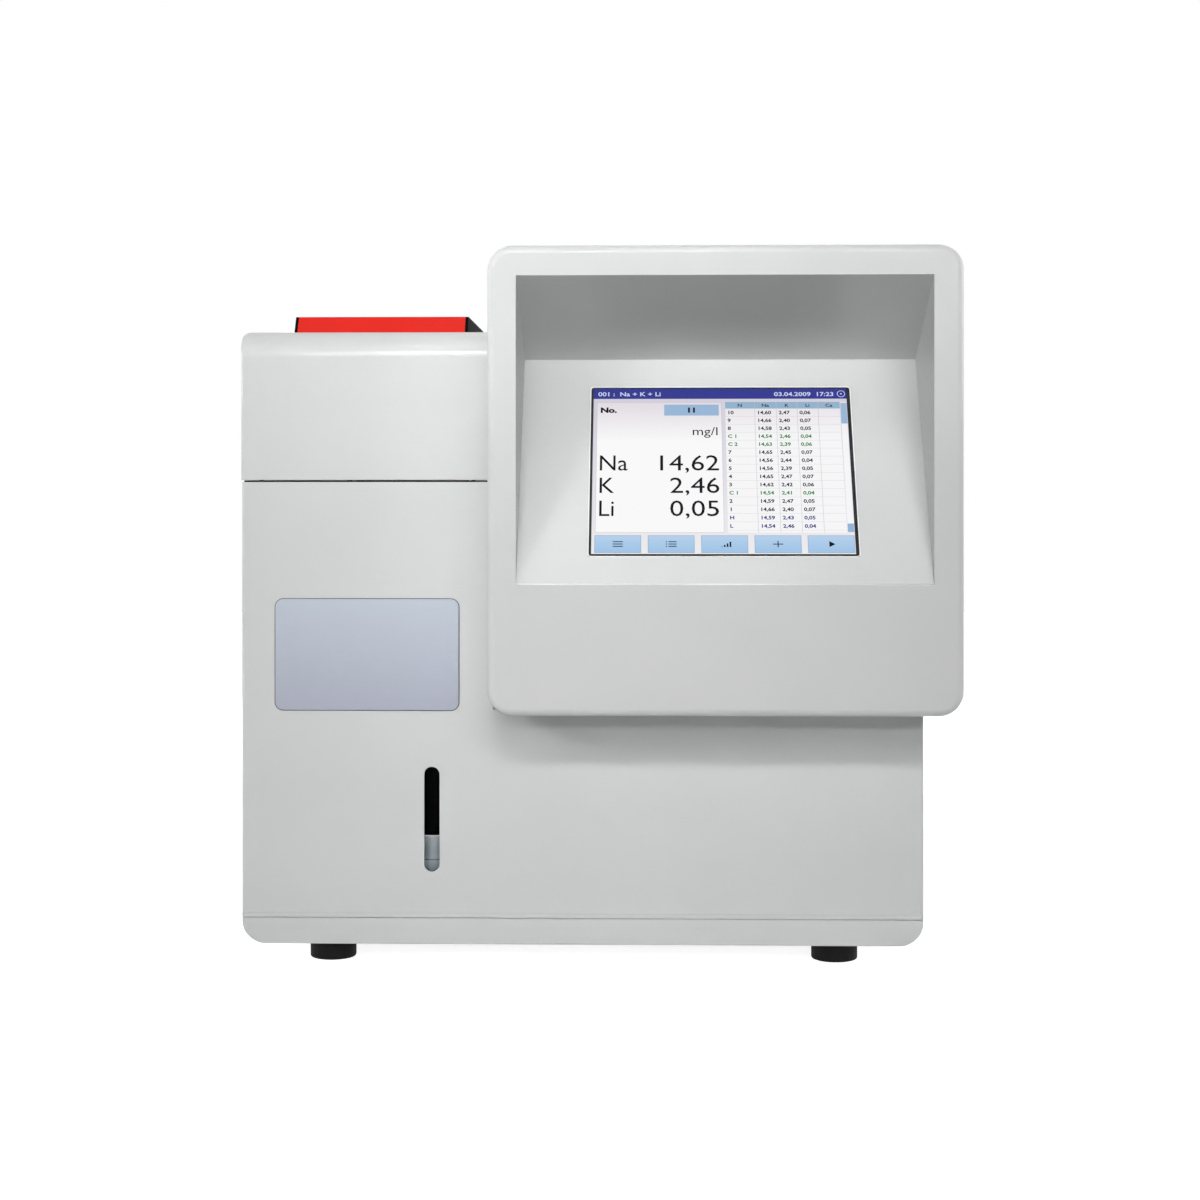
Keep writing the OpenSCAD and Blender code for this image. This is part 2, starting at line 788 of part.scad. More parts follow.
// Rubber bumpers that carry the closed cover
module cover_bumpers() {
    bumper_r = 1.2;
    gap = wall / 2;
    color(black) for (x = [body_x0 + 12, column_x1 - 12], y = [body_y0 + gap])
        translate([x, y, column_z]) cylinder(r = bumper_r, h = cover_gap);
    color(black) for (x = [body_x0 + gap, column_x1 - gap], y = [body_y0 + body_d / 2])
        translate([x, y, column_z]) cylinder(r = bumper_r, h = cover_gap);
}

module mixing_chamber() {
    x0 = -chamber_l / 2;
    boss_h = chamber_drop - fit;
    color([0.9, 0.9, 0.88]) translate([flame_x, flame_y, chamber_z]) difference() {
        union() {
            translate([x0, 0, 0]) rod_x(chamber_r, chamber_l);
            for (x = [x0, -x0 - 6]) translate([x, 0, 0]) rod_x(chamber_r + 3, 6);
            for (x = [x0 + 14, -x0 - 14]) translate([x - 4, -12, 0]) cube([8, 24, chamber_r + chamber_drop]);
            translate([0, 0, chamber_r - 2]) cylinder(r = stem_r + 5, h = boss_h - 2);
            translate([-x0 - 16, 0, -chamber_r - 10]) cylinder(r = hose_r + 1.5, h = 14);
        }
        translate([x0 + chamber_t, 0, 0]) rod_x(chamber_r - chamber_t, chamber_l - 2 * chamber_t);
        cylinder(r = stem_r + pin_play, h = 2 * chamber_r);
        translate([-x0 - 16, 0, -chamber_r - 10 - cut]) cylinder(r = hose_r, h = 14 + 2 * cut);
        translate([x0 - cut, 0, 0]) rod_x(nebuliser_r + pin_play, chamber_t + 2 * cut);
    }
}

nebuliser_r = 8;
nebuliser_l = 22;
nebuliser_x0 = flame_x - chamber_l / 2 - nebuliser_l;

// Nebuliser in the chamber's left end, with its gas ports and the bore of the sample capillary
module nebuliser() {
    inner_l = 14;
    color(steel) translate([nebuliser_x0, flame_y, chamber_z]) difference() {
        union() {
            rod_x(nebuliser_r - 1, nebuliser_l);
            translate([nebuliser_l - 8, 0, 0]) rod_x(nebuliser_r + 5, 8 - fit);
            rod_x(nebuliser_r, nebuliser_l + inner_l);
            translate([7, 0, -16]) cylinder(r = hose_r, h = 12);
            translate([7, 0, 4]) cylinder(r = hose_r, h = 12);
        }
        translate([-cut, 0, 0]) rod_x(capillary_r, nebuliser_l + inner_l + 2 * cut);
        translate([7, 0, -16 - cut]) cylinder(r = hose_r - 1, h = 13);
        translate([7, 0, 4]) cylinder(r = hose_r - 1, h = 13);
    }
}

// Bushing, flush with the housing's left side, through which the sample capillary leaves
module sample_port() {
    flange_r = port_r + 4;
    reach = nebuliser_x0 - (body_x0 + wall);
    color(black) translate([body_x0, flame_y, chamber_z]) difference() {
        union() {
            rod_x(port_r, wall + reach);
            translate([wall, 0, 0]) rod_x(flange_r, 2);
        }
        translate([-cut, 0, 0]) rod_x(capillary_r + 0.5, wall + reach + 2 * cut);
        translate([-cut, 0, 0]) rod_x(port_r - 3, wall + cut);
    }
}

burner_z = flame_deck_z + burner_rise;

module burner_stem() {
    z0 = chamber_z + chamber_r - chamber_t;
    color(steel) translate([flame_x, flame_y, z0]) difference() {
        union() {
            cylinder(r = stem_r, h = burner_z - z0);
            translate([0, 0, flame_deck_z - z0 + deck_t + 4]) cylinder(r = stem_r + 3, h = 6, $fn = 6);
        }
        translate([0, 0, -cut]) cylinder(r = stem_r - stem_t, h = burner_z - z0 + 2 * cut);
    }
}

// Burner head: a stepped cap with rings of flame holes and cooling grooves
module burner_head() {
    top_r = 13;
    groove = 1.5;
    color(brass) translate([flame_x, flame_y, burner_z]) difference() {
        rotate_extrude() difference() {
            polygon([[0, 0], [burner_r, 0], [burner_r, burner_h - 6], [top_r + 1, burner_h],
                [0, burner_h]]);
            for (z = [4 : 4 : burner_h - 9]) translate([burner_r - groove, z]) square([groove + cut, groove]);
        }
        translate([0, 0, -cut]) cylinder(r = stem_r - stem_t, h = burner_h - 4 + cut);
        translate([0, 0, burner_h - 8]) cylinder(r = top_r - 2, h = 4);
        for (ring = [0 : 2], i = [0 : max(1, 6 * ring) - 1]) rotate(i * 60 / max(1, ring))
            translate([ring * 4.2, 0, burner_h - 5]) cylinder(r = flame_hole_r, h = 5 + cut);
    }
}

// Spun seat of the flame tube, with three spring tongues
module flame_tube_seat() {
    tongue_w = 8;
    tongue_t = 1.2;
    out_r = tube_r + 5;
    color(steel) translate([flame_x, flame_y, flame_deck_z + deck_t]) {
        rotate_extrude() difference() {
            translate([tube_r - tube_t - 1.5, 0]) square([out_r - tube_r + tube_t + 1.5, tube_seat_h]);
            translate([tube_r - tube_t - fit, 4]) square([tube_t + 2 * fit, tube_seat_h]);
        }
        for (i = [0 : 2]) rotate(i * 120) translate([tube_r + fit, -tongue_w / 2, tube_seat_h - 2])
            cube([tongue_t, tongue_w, 10]);
    }
}

tube_z = flame_deck_z + deck_t + 4;

module flame_tube() {
    color(clear) translate([flame_x, flame_y, tube_z]) rotate_extrude()
        translate([tube_r - tube_t, 0]) round_rect(tube_t, tube_h, tube_t / 4);
}

module igniter() {
    place = (burner_r + tube_r - tube_t) / 2;
    color([0.95, 0.94, 0.9]) translate([flame_x, flame_y, 0]) rotate(-60) translate([place, 0, flame_deck_z + deck_t]) {
        cylinder(r = igniter_r, h = igniter_h);
        cylinder(r = igniter_r + 1, h = 8);
        translate([0, 0, igniter_h - eps]) cylinder(r = 0.6, h = 8);
        translate([-place * 0.45, 0, igniter_h + 8 - 0.6]) rod_x(0.6, place * 0.45 + 0.6);
    }
}

// --- Optics

optics_y0 = flame_y + optics_back;
optics_z0 = flame_deck_z + deck_t + optics_rise;

function barrel_places() = [for (x = [-1, 1], z = [-1, 1])
    [flame_x + x * barrel_pitch / 2, optics_z0 + optics_h / 2 + z * barrel_pitch / 2]];

// Optics block with four through bores, on a folded foot screwed to the flame deck
module optics_block() {
    leg_t = 4;
    leg_d = optics_d - 12;
    color(dark_grey) difference() {
        translate([flame_x - optics_w / 2, optics_y0, 0]) {
            translate([0, 0, optics_z0]) cube([optics_w, optics_d, optics_h]);
            for (x = [4, optics_w - 4 - leg_t]) translate([x, 6, flame_deck_z + deck_t])
                cube([leg_t, leg_d, optics_rise + eps]);
            for (x = [4 - 8, optics_w - 4 - eps]) translate([x, 6, flame_deck_z + deck_t])
                cube([8 + eps, leg_d, leg_t]);
        }
        upright_places(barrel_places(), optics_y0 - cut)
            rod_y(barrel_r + pin_play, optics_d + 2 * cut);
    }
}

module lens_barrels() {
    length = optics_d + barrel_out - 8;
    color(black) upright_places(barrel_places(), optics_y0 - barrel_out) difference() {
        rod_y(barrel_r, length);
        translate([0, -cut, 0]) rod_y(barrel_r - barrel_t, length + 2 * cut);
        translate([0, -cut, 0]) rod_y(barrel_r - barrel_t / 2, 2 + cut);
    }
}

module optical_filters() {
    r = barrel_r - barrel_t;
    color([0.8, 0.5, 0.15]) for (p = barrel_places()) {
        translate([p[0], optics_y0 + 6, p[1]]) rod_y(r, filter_t);
        translate([p[0], optics_y0 - barrel_out + 1, p[1]]) rotate([-90, 0, 0]) intersection() {
            cylinder(r = r, h = 4);
            translate([0, 0, 20]) sphere(20);
        }
    }
}

module detector_board() {
    color(board_green) {
        translate([flame_x - optics_w / 2 - 4, optics_y0 + optics_d, optics_z0 - 6])
            cube([optics_w + 8, board_t, optics_h + 10]);
        upright_places(barrel_places(), optics_y0 + optics_d - 7) rod_y(4, 7 + eps);
    }
}

// --- Gas, air and drain

fitting_thread_r = 6.5;
nut_r = 10;
nut_h = 6;
fitting_in = 14;

// Bulkhead fitting along Y: thread through the panel, a nut inside and a collar outside
module bulkhead_fitting(collar_h) {
    translate([0, -fitting_in, 0]) rod_y(fitting_thread_r, fitting_in + panel_t + eps);
    translate([0, -nut_h, 0]) rotate([-90, 0, 0]) cylinder(r = nut_r, h = nut_h, $fn = 6);
    translate([0, panel_t, 0]) rotate([-90, 0, 0]) cylinder(r = nut_r, h = collar_h, $fn = 6);
}

module gas_inlet() {
    color(brass) translate([gas_x, panel_y, inlets_z]) difference() {
        union() {
            bulkhead_fitting(6);
            translate([0, panel_t, 0]) rod_y(gas_nipple_r, nipple_l);
        }
        translate([0, -fitting_in - cut, 0]) rod_y(gas_nipple_r - 1.5, nipple_l + fitting_in + panel_t + 2 * cut);
        translate([0, -fitting_in - cut, 0]) rod_y(hose_r + pin_play, 8 + cut);
    }
}

module air_inlet() {
    sleeve = 12;
    color(steel) translate([air_x, panel_y, inlets_z]) difference() {
        union() {
            bulkhead_fitting(sleeve);
            translate([0, panel_t + sleeve - eps, 0]) rod_y(fitting_thread_r, 4 + eps);
        }
        translate([0, panel_t + 4, 0]) rod_y(air_bore_r, sleeve + cut);
        translate([0, -cut - fitting_in, 0]) rod_y(1.5, fitting_in + sleeve);
        translate([0, -fitting_in - cut, 0]) rod_y(hose_r + pin_play, 8 + cut);
    }
}

module drain_outlet() {
    color(dark_grey) translate([drain_x, panel_y, drain_z]) difference() {
        union() {
            bulkhead_fitting(4);
            translate([0, panel_t, 0]) rod_y(drain_nipple_r, nipple_l);
        }
        translate([0, -fitting_in - cut, 0]) rod_y(hose_r - 0.5, nipple_l + fitting_in + panel_t + 2 * cut);
        translate([0, -fitting_in - cut, 0]) rod_y(hose_r + pin_play, 8 + cut);
    }
}

valve_w = 32;
valve_d = 44;
valve_h = 26;
valve_x0 = gas_x - valve_w / 2 + 4;
valve_y0 = panel_y - 110;

// Solenoid valve on the tray: brass body, coil on top, ports at the front and the top
module gas_valve() {
    coil_r = 13;
    color(brass) translate([valve_x0, valve_y0, floor_z]) {
        difference() {
            cube([valve_w, valve_d, valve_h]);
            translate([valve_w / 2, -cut, valve_h / 2]) rod_y(hose_r + pin_play, 10);
            translate([gas_x - valve_x0, valve_d - 10, valve_h - 8]) cylinder(r = hose_r + pin_play, h = 8 + cut);
        }
        translate([valve_w / 2 - 2, coil_r + 2, valve_h - eps]) cylinder(r = coil_r - 1, h = 24);
    }
}

// Ends of the tubes are seated inside the fittings that hold them
module gas_tube() {
    y_in = panel_y - fitting_in + 7;
    y_drop = valve_y0 + valve_d - 10;
    port_x = valve_x0 + valve_w / 2;
    port_z = floor_z + valve_h / 2;
    gas_port_x = nebuliser_x0 + 7;
    color([0.85, 0.3, 0.2]) {
        hose([[gas_x, y_in, inlets_z], [gas_x, y_drop, inlets_z], [gas_x, y_drop, floor_z + valve_h - 7]], hose_r);
        hose([[port_x, valve_y0 + 8, port_z], [port_x, flame_y, port_z], [gas_port_x, flame_y, port_z],
            [gas_port_x, flame_y, chamber_z - 16]], hose_r);
    }
}

module air_tube() {
    y_in = panel_y - fitting_in + 7;
    port_x = nebuliser_x0 + 7;
    turn_y = flame_y + chamber_r + 22;
    color([0.25, 0.4, 0.75]) hose([[air_x, y_in, inlets_z], [air_x, turn_y, inlets_z],
        [air_x, turn_y, chamber_z + 24], [port_x, turn_y, chamber_z + 24], [port_x, flame_y, chamber_z + 24],
        [port_x, flame_y, chamber_z + 16]], hose_r);
}

module drain_tubes() {
    spill_x = flame_x + chamber_l / 2 - 16;
    top_z = vessel_z0 + vessel_h + 12;
    color([0.75, 0.75, 0.7]) {
        hose([[spill_x, flame_y, chamber_z - chamber_r - 1], [spill_x, flame_y, top_z],
            [slot_x, vessel_y, top_z], [slot_x, vessel_y, top_z - 24]], hose_r - pin_play);
        difference() {
            translate([slot_x, vessel_y + vessel_r, drain_z]) rod_y(hose_r, panel_y - fitting_in + 7 - vessel_y - vessel_r);
            translate([slot_x, vessel_y + vessel_r - cut, drain_z]) rod_y(siphon_nipple_r + pin_play, 6);
        }
    }
}

// --- Mains inlet with rocker and fuse drawer

module_z = housing_z + module_rise;
inlet_lip = 3;
inlet_body_w = inlet_w - 2 * inlet_lip;
bay_w = 21.4;
drawer_bay_w = 22.4;
plug_w = 24.4;
plug_h = 16.6;
plug_depth = 18;
rocker_w = bay_w - 2 * fit;
rocker_pin_r = 1.2;
rocker_half = rocker_bay / 2 - 1.2;
inlet_face = body_y1 + inlet_flange;
plug_z = module_z + inlet_lip + 4 + plug_h / 2;
drawer_z = plug_z + plug_h / 2 + 4;
rocker_z = drawer_z + drawer_h + 4 + rocker_bay / 2;
rocker_y = inlet_face - 6;

// Chamfered outline of the cavity that takes a mains connector
module plug_outline() {
    bevel = 4;
    polygon([[-plug_w / 2, -plug_h / 2], [plug_w / 2, -plug_h / 2], [plug_w / 2, plug_h / 2 - bevel],
        [plug_w / 2 - bevel, plug_h / 2], [bevel - plug_w / 2, plug_h / 2], [-plug_w / 2, plug_h / 2 - bevel]]);
}

module power_inlet() {
    color(black) {
        difference() {
            union() {
                translate([power_x - inlet_w / 2, body_y1, module_z]) along_y(inlet_flange)
                    round_rect(inlet_w, inlet_h, 3);
                translate([power_x - inlet_body_w / 2, body_y1 - inlet_depth, module_z + inlet_lip])
                    cube([inlet_body_w, inlet_depth + eps, inlet_h - 2 * inlet_lip]);
            }
            translate([power_x, inlet_face - plug_depth, plug_z]) along_y(plug_depth + cut) plug_outline();
            translate([power_x - drawer_bay_w / 2 - fit, inlet_face - drawer_l - fit, drawer_z - fit])
                cube([drawer_bay_w + 2 * fit, drawer_l + fit + cut, drawer_h + 2 * fit]);
            translate([power_x - bay_w / 2, inlet_face - 14, rocker_z - rocker_bay / 2])
                cube([bay_w, 14 + cut, rocker_bay]);
            translate([power_x - bay_w / 2 - 1.5, rocker_y, rocker_z]) rod_x(rocker_pin_r + pin_play, bay_w + 3);
        }
    }
    color(steel) for (p = [[-7, -2], [7, -2], [0, 2]])
        translate([power_x + p[0] - 1, inlet_face - plug_depth - 1, plug_z + p[1] - 2]) cube([2, 15, 4]);
}

// Rocker with two tilted faces, resting in its off position
module power_rocker() {
    tilt = rocker_swing / 2;
    depth = 5;
    color([0.1, 0.1, 0.1]) translate([power_x, rocker_y, rocker_z]) rotate([tilt, 0, 0]) {
        translate([-rocker_w / 2, 0, 0]) along_x(rocker_w)
            polygon([[-depth, -rocker_half], [-depth, rocker_half], [depth + 2.2, rocker_half], [depth + 1.2, 0],
                [depth + 2.2, -rocker_half]]);
        translate([-bay_w / 2 - 1.2, 0, 0]) rod_x(rocker_pin_r, bay_w + 2.4);
    }
}

module fuse_drawer() {
    fuse_r = 2.6;
    pocket_z = drawer_h - 2 * fuse_r - 0.6;
    color(black) translate([power_x - drawer_bay_w / 2, inlet_face - drawer_l, drawer_z]) difference() {
        cube([drawer_bay_w, drawer_l, drawer_h]);
        translate([1.5, 1, pocket_z]) cube([drawer_bay_w - 3, 2 * fuse_r + 1, drawer_h]);
        translate([drawer_bay_w / 2 - 5, drawer_l - 1.2, -cut]) cube([10, 1.2 + cut, 3]);
    }
    color(clear) translate([power_x - drawer_bay_w / 2 + 1.5 + pin_play, inlet_face - drawer_l + 1.5 + fuse_r,
        drawer_z + pocket_z + fuse_r + pin_play]) rod_x(fuse_r, drawer_bay_w - 3 - 2 * pin_play);
}

// --- Electronics in the body

supply_w = 62;
supply_d = 120;
supply_h = 42;
sockets_z = floor_z + board_boss_h + board_t;
serial_w = 31;
serial_h = 12.5;
serial_x = board_x + 26;
usb_w = 14.4;
usb_h = 7;
usb_pitch = 22;
usb_x = board_x + 52;

module power_supply() {
    slots = 9;
    color(steel) translate([body_x1 - tray_corner_r - 2 - supply_w, body_y0 + 90, floor_z]) difference() {
        cube([supply_w, supply_d, supply_h]);
        for (i = [0 : slots - 1]) translate([8, 14 + i * 11, supply_h - 3]) cube([supply_w - 16, wall, 3 + cut]);
    }
}

module main_board() {
    heights = [4, 7, 3, 12, 5];
    color(board_green) translate([board_x, board_y, floor_z + board_boss_h]) {
        cube([board_w, board_d, board_t]);
        for (i = [0 : len(heights) - 1]) translate([12 + 17 * i, 14, board_t]) cube([12, 18, heights[i]]);
        for (i = [0 : 3]) translate([20 + 22 * i, 70, board_t]) cylinder(r = 5, h = 14);
        translate([30, 96, board_t]) cube([30, 30, 3]);
    }
}

// Serial socket and two bus sockets, soldered to the board's rear edge
module data_sockets() {
    depth = 16;
    pins = 9;
    y0 = body_y1 - depth;
    color(steel) {
        translate([serial_x - serial_w / 2, y0, sockets_z]) difference() {
            union() {
                cube([serial_w, depth, serial_h]);
                translate([7, depth - eps, 2]) along_y(3) polygon([[0, 0], [17, 0], [18.5, 8.4], [-1.5, 8.4]]);
            }
            for (i = [0 : pins - 1]) translate([9.6 + 1.4 * i, depth - 2, (i % 2 == 0) ? 7.6 : 4.8]) rod_y(0.5, 6);
        }
        for (i = [0, 1]) translate([usb_x + i * usb_pitch, y0, sockets_z]) difference() {
            cube([usb_w, depth, usb_h]);
            translate([0.8, depth - 10, 0.8]) cube([usb_w - 1.6, 10 + cut, usb_h / 2 - 1.8]);
            translate([0.8, depth - 10, usb_h / 2 + 1]) cube([usb_w - 1.6, 10 + cut, usb_h / 2 - 1.8]);
        }
    }
}

// --- Fan

fan_z = housing_z + deck_rise / 2 + 4;
fan_hole_r = 2.2;
fan_y = panel_y - fan_d;

function fan_hole_places() = let (in = fan_side / 2 - 4.5)
    [for (x = [-in, in], z = [-in, in]) [fan_x + x, fan_z + z]];

module fan_frame() {
    strut_t = 3;
    duct_r = fan_side / 2 - 2;
    motor_h = 6;
    color(black) {
        difference() {
            translate([fan_x - fan_side / 2, fan_y, fan_z - fan_side / 2]) along_y(fan_d) round_rect(fan_side, fan_side, 4);
            translate([fan_x, fan_y - cut, fan_z]) rod_y(duct_r, fan_d + 2 * cut);
            upright_places(fan_hole_places(), fan_y - cut) rod_y(fan_hole_r, fan_d + 2 * cut);
        }
        translate([fan_x, fan_y, fan_z]) {
            rod_y(fan_hub_r - 1, strut_t);
            rod_y(fan_shaft_r + 2, motor_h);
            rod_y(fan_shaft_r, fan_d - 5);
            for (i = [0 : 2]) rotate([0, 30 + i * 120, 0]) translate([0, 0, -strut_t / 2])
                cube([duct_r + 0.5, strut_t, strut_t]);
        }
    }
}

// Rotor: hub on the frame's shaft, with pitched blades
module fan_rotor() {
    hub_h = fan_d - 9;
    y0 = fan_y + 6.4;
    sweep_r = fan_side / 2 - 3;
    color(dark_grey) translate([fan_x, y0, fan_z]) difference() {
        union() {
            rod_y(fan_hub_r, hub_h);
            intersection() {
                rod_y(sweep_r, hub_h);
                for (i = [0 : fan_blades - 1]) rotate([0, i * 360 / fan_blades, 0]) translate([fan_hub_r - 2, hub_h / 2, 0])
                    rotate([38, 0, 0]) translate([0, -hub_h, -0.8]) cube([sweep_r, 2 * hub_h, 1.6]);
            }
        }
        translate([0, -cut, 0]) rod_y(fan_shaft_r + pin_play, hub_h - 1.5 + cut);
    }
}

// Wire guard outside the rear panel: rings, two crossed spokes and four eyes
module fan_guard() {
    step = (fan_side / 2 - 4) / guard_rings;
    reach = norm([fan_side / 2 - 4.5, fan_side / 2 - 4.5]);
    wire_y = 2.6 * guard_wire_r;
    color(steel) translate([fan_x, body_y1, fan_z]) {
        for (i = [1 : guard_rings]) translate([0, wire_y, 0]) rotate([90, 0, 0]) rotate_extrude()
            translate([i * step, 0]) circle(guard_wire_r);
        for (a = [45, 135]) rotate([0, a, 0]) translate([-reach, guard_wire_r, 0]) rod_x(guard_wire_r, 2 * reach);
        for (x = [-1, 1], z = [-1, 1]) translate([x * (fan_side / 2 - 4.5), 0, z * (fan_side / 2 - 4.5)]) difference() {
            rod_y(4, 2 * guard_wire_r);
            translate([0, -cut, 0]) rod_y(fan_hole_r, 2 * guard_wire_r + 2 * cut);
        }
    }
}

// --- Display head

recess_x0 = head_x0 + recess_left;
recess_z1 = head_top - recess_top;
recess_z0 = recess_z1 - recess_h;
apex_z = recess_z1 - apex_drop;
lean = atan2(apex_d, apex_z - recess_z0);
ceiling_fall = atan2(apex_drop, apex_d);
screen_x = recess_x0 + recess_w / 2;
well_r = 4.5;
well_wall = 2.5;
well_inset = head_wall + well_r + well_wall - 1;

// Outline of depth d and width w whose two corners at x = 0 are rounded
module nose_rect(d, w, r) {
    translate([r, 0]) square([d - r, w]);
    translate([0, r]) square([d, w - 2 * r]);
    for (y = [r, w - r]) translate([r, y]) circle(r);
}

// Corner post of the head: a round bar whose front edge is softened
module corner_post(d, corner, soft) {
    translate([0, d, 0]) rotate([90, 0, 0]) rotate_extrude() {
        square([corner, d - soft]);
        square([corner - soft, d]);
        intersection() {
            translate([corner - soft, d - soft]) circle(soft);
            translate([0, d - soft]) square([corner, soft]);
        }
    }
}

// Block with round corners seen from the front and a softened front edge, from y = 0 to y = d
module head_form(w, h, d, corner, soft) {
    translate([corner, 0, 0]) along_x(w - 2 * corner) nose_rect(d, h, soft);
    translate([0, 0, corner]) linear_extrude(h - 2 * corner) mirror([1, -1]) nose_rect(d, w, soft);
    for (x = [corner, w - corner], z = [corner, h - corner]) translate([x, 0, z]) corner_post(d, corner, soft);
}

// Side outline of the recess: lower lip, apex and upper lip, opened past the front face
module recess_outline(t) {
    low = recess_z0 - t / sin(lean);
    high = recess_z1 + t / cos(ceiling_fall);
    apex = (high - low) / (1 / tan(lean) + tan(ceiling_fall));
    front = (t > 0) ? 0 : -2 * cut;
    polygon([[front, low], [0, low], [apex, low + apex / tan(lean)], [0, high], [front, high]]);
}

module recess_block(t) {
    translate([recess_x0 - t, head_y0, 0]) along_x(recess_w + 2 * t) recess_outline(t);
}

// Stands its children on the sloping panel: X stays, Y runs up the panel, Z stands out of it
module on_panel(rise) {
    translate([screen_x, head_y0, recess_z0]) rotate([90 - lean, 0, 0]) translate([0, rise, 0]) children();
}

function well_places() = [for (x = [head_x0 + well_inset, head_x1 - well_inset],
    z = [head_z + well_inset, head_top - well_inset]) [x, z]];

bracket_boss_x = screen_w / 2 + flange_w + 9;
module_back = head_wall + flange_t + module_t;

// Front moulding of the head
module head_bezel() {
    in = head_wall;
    boss_r = 4;
    color(shell_grey) difference() {
        union() {
            difference() {
                translate([head_x0, head_y0, head_z]) head_form(head_w, head_h, bezel_d, head_corner_r, head_edge_r);
                head_ring(in, head_y0 + in, bezel_d);
            }
            recess_block(in);
            intersection() {
                head_ring(in / 2, head_y0 + in, bezel_d - in);
                upright_places(well_places(), seam_y - 24) rod_y(well_r + well_wall, 24);
            }
            for (x = [-bracket_boss_x, bracket_boss_x], y = [12, screen_h - 12])
                on_panel(screen_rise) translate([x, y, -module_back]) cylinder(r = boss_r, h = module_back - in + eps);
        }
        recess_block(0);
        on_panel(screen_rise) translate([-screen_w / 2 - fit, -fit, -in - cut])
            cube([screen_w + 2 * fit, screen_h + 2 * fit, in + 2 * cut]);
        upright_places(well_places(), seam_y - 16) rod_y(foot_screw_r + pin_play, 16 + cut);
    }
}

// Block that lies an even distance inside the head's sides
module head_ring(inset, y, d) {
    translate([head_x0 + inset, y, head_z + inset]) along_y(d)
        round_rect(head_w - 2 * inset, head_h - 2 * inset, head_corner_r - inset);
}

// Rear shell of the head, with deep screw wells, a vent grille and a lip that fits into the front moulding
module head_shell() {
    in = head_wall;
    depth = head_d - bezel_d;
    lip = 6;
    lip_t = 1.6;
    slot_l = 66;
    slots = 17;
    pitch = 10;
    color(shell_grey) difference() {
        union() {
            difference() {
                translate([head_x1, head_y1, head_z]) rotate([0, 0, 180])
                    head_form(head_w, head_h, depth, head_corner_r, head_edge_r);
                head_ring(in, seam_y - cut, depth - in + cut);
            }
            difference() {
                union() {
                    head_ring(in + fit, seam_y - lip, lip + 1);
                    head_ring(in - eps, seam_y, 10);
                }
                head_ring(in + fit + lip_t, seam_y - lip - cut, lip + 10 + 2 * cut);
                upright_places(well_places(), seam_y - lip - cut)
                    rod_y(well_r + well_wall + fit, lip + cut);
            }
            intersection() {
                head_ring(in / 2, seam_y, depth - in / 2);
                upright_places(well_places(), seam_y) rod_y(well_r + well_wall, depth);
            }
            for (p = head_bolt_places()) if (p[1] > seam_y) translate([p[0], p[1], head_z + 1]) cylinder(r = 5, h = 18);
        }
        for (p = well_places()) {
            translate([p[0], seam_y + 6, p[1]]) rod_y(well_r, depth);
            translate([p[0], seam_y - cut, p[1]]) rod_y(foot_screw_r + fit, 8);
        }
        for (i = [0 : slots - 1], z = [head_z + 56, head_z + 150])
            translate([head_x0 + head_w / 2 + (i - (slots - 1) / 2) * pitch, head_y1 - in - cut, z])
                along_y(in + 2 * cut) slot_outline(wall, slot_l);
        for (p = head_bolt_places()) if (p[1] > seam_y) translate([p[0], p[1], head_z - cut])
            cylinder(r = foot_screw_r + pin_play, h = 15);
        translate([gland_x, gland_y, head_z - cut]) cylinder(r = gland_r - 2, h = in + 2 * cut);
    }
}

// Seat between deck and head, with the sleeve that carries the cables through
module head_seat() {
    inset = 14;
    band = 34;
    x0 = head_x0 + inset;
    y0 = body_y0 + inset;
    w = body_x1 - inset - x0;
    d = head_y1 - inset - y0;
    color(black) difference() {
        union() {
            translate([x0, y0, deck_z]) linear_extrude(seat_t) difference() {
                round_rect(w, d, 6);
                translate([band, band]) round_rect(w - 2 * band, d - 2 * band, 4);
            }
            translate([gland_x, gland_y, deck_z]) cylinder(r = gland_r + 6, h = seat_t);
            translate([gland_x, gland_y, deck_z - wall]) cylinder(r = gland_r - pin_play, h = wall + eps);
        }
        translate([gland_x, gland_y, deck_z - wall - cut]) cylinder(r = gland_r - 3, h = wall + seat_t + 2 * cut);
        level_places(head_bolt_places(), deck_z - cut)
            cylinder(r = foot_screw_r + fit, h = seat_t + 2 * cut);
    }
}

module head_screws() {
    color(steel) {
        upright_places(well_places(), seam_y + 6) rotate([90, 0, 0]) pan_screw(foot_screw_r, 20);
        for (p = head_bolt_places()) if (p[1] > seam_y) translate([p[0], p[1], deck_z - wall])
            pan_screw(foot_screw_r, wall + seat_t + 12);
    }
}

// --- Display in the sloping panel

module display_surround() {
    color(black) on_panel(screen_rise) difference() {
        union() {
            translate([-screen_w / 2, 0, -head_wall - eps]) cube([screen_w, screen_h, head_wall + eps]);
            translate([-screen_w / 2 - flange_w, -flange_w, -head_wall - flange_t])
                cube([screen_w + 2 * flange_w, screen_h + 2 * flange_w, flange_t]);
        }
        translate([surround_t - screen_w / 2, surround_t, -head_wall - flange_t - cut])
            cube([screen_w - 2 * surround_t, screen_h - 2 * surround_t, head_wall + flange_t + 2 * cut]);
    }
}

module touch_glass() {
    gap = surround_t + fit / 2;
    color([0.55, 0.65, 0.85]) on_panel(screen_rise) translate([gap - screen_w / 2, gap, -glass_sink - glass_t])
        cube([screen_w - 2 * gap, screen_h - 2 * gap, glass_t]);
}

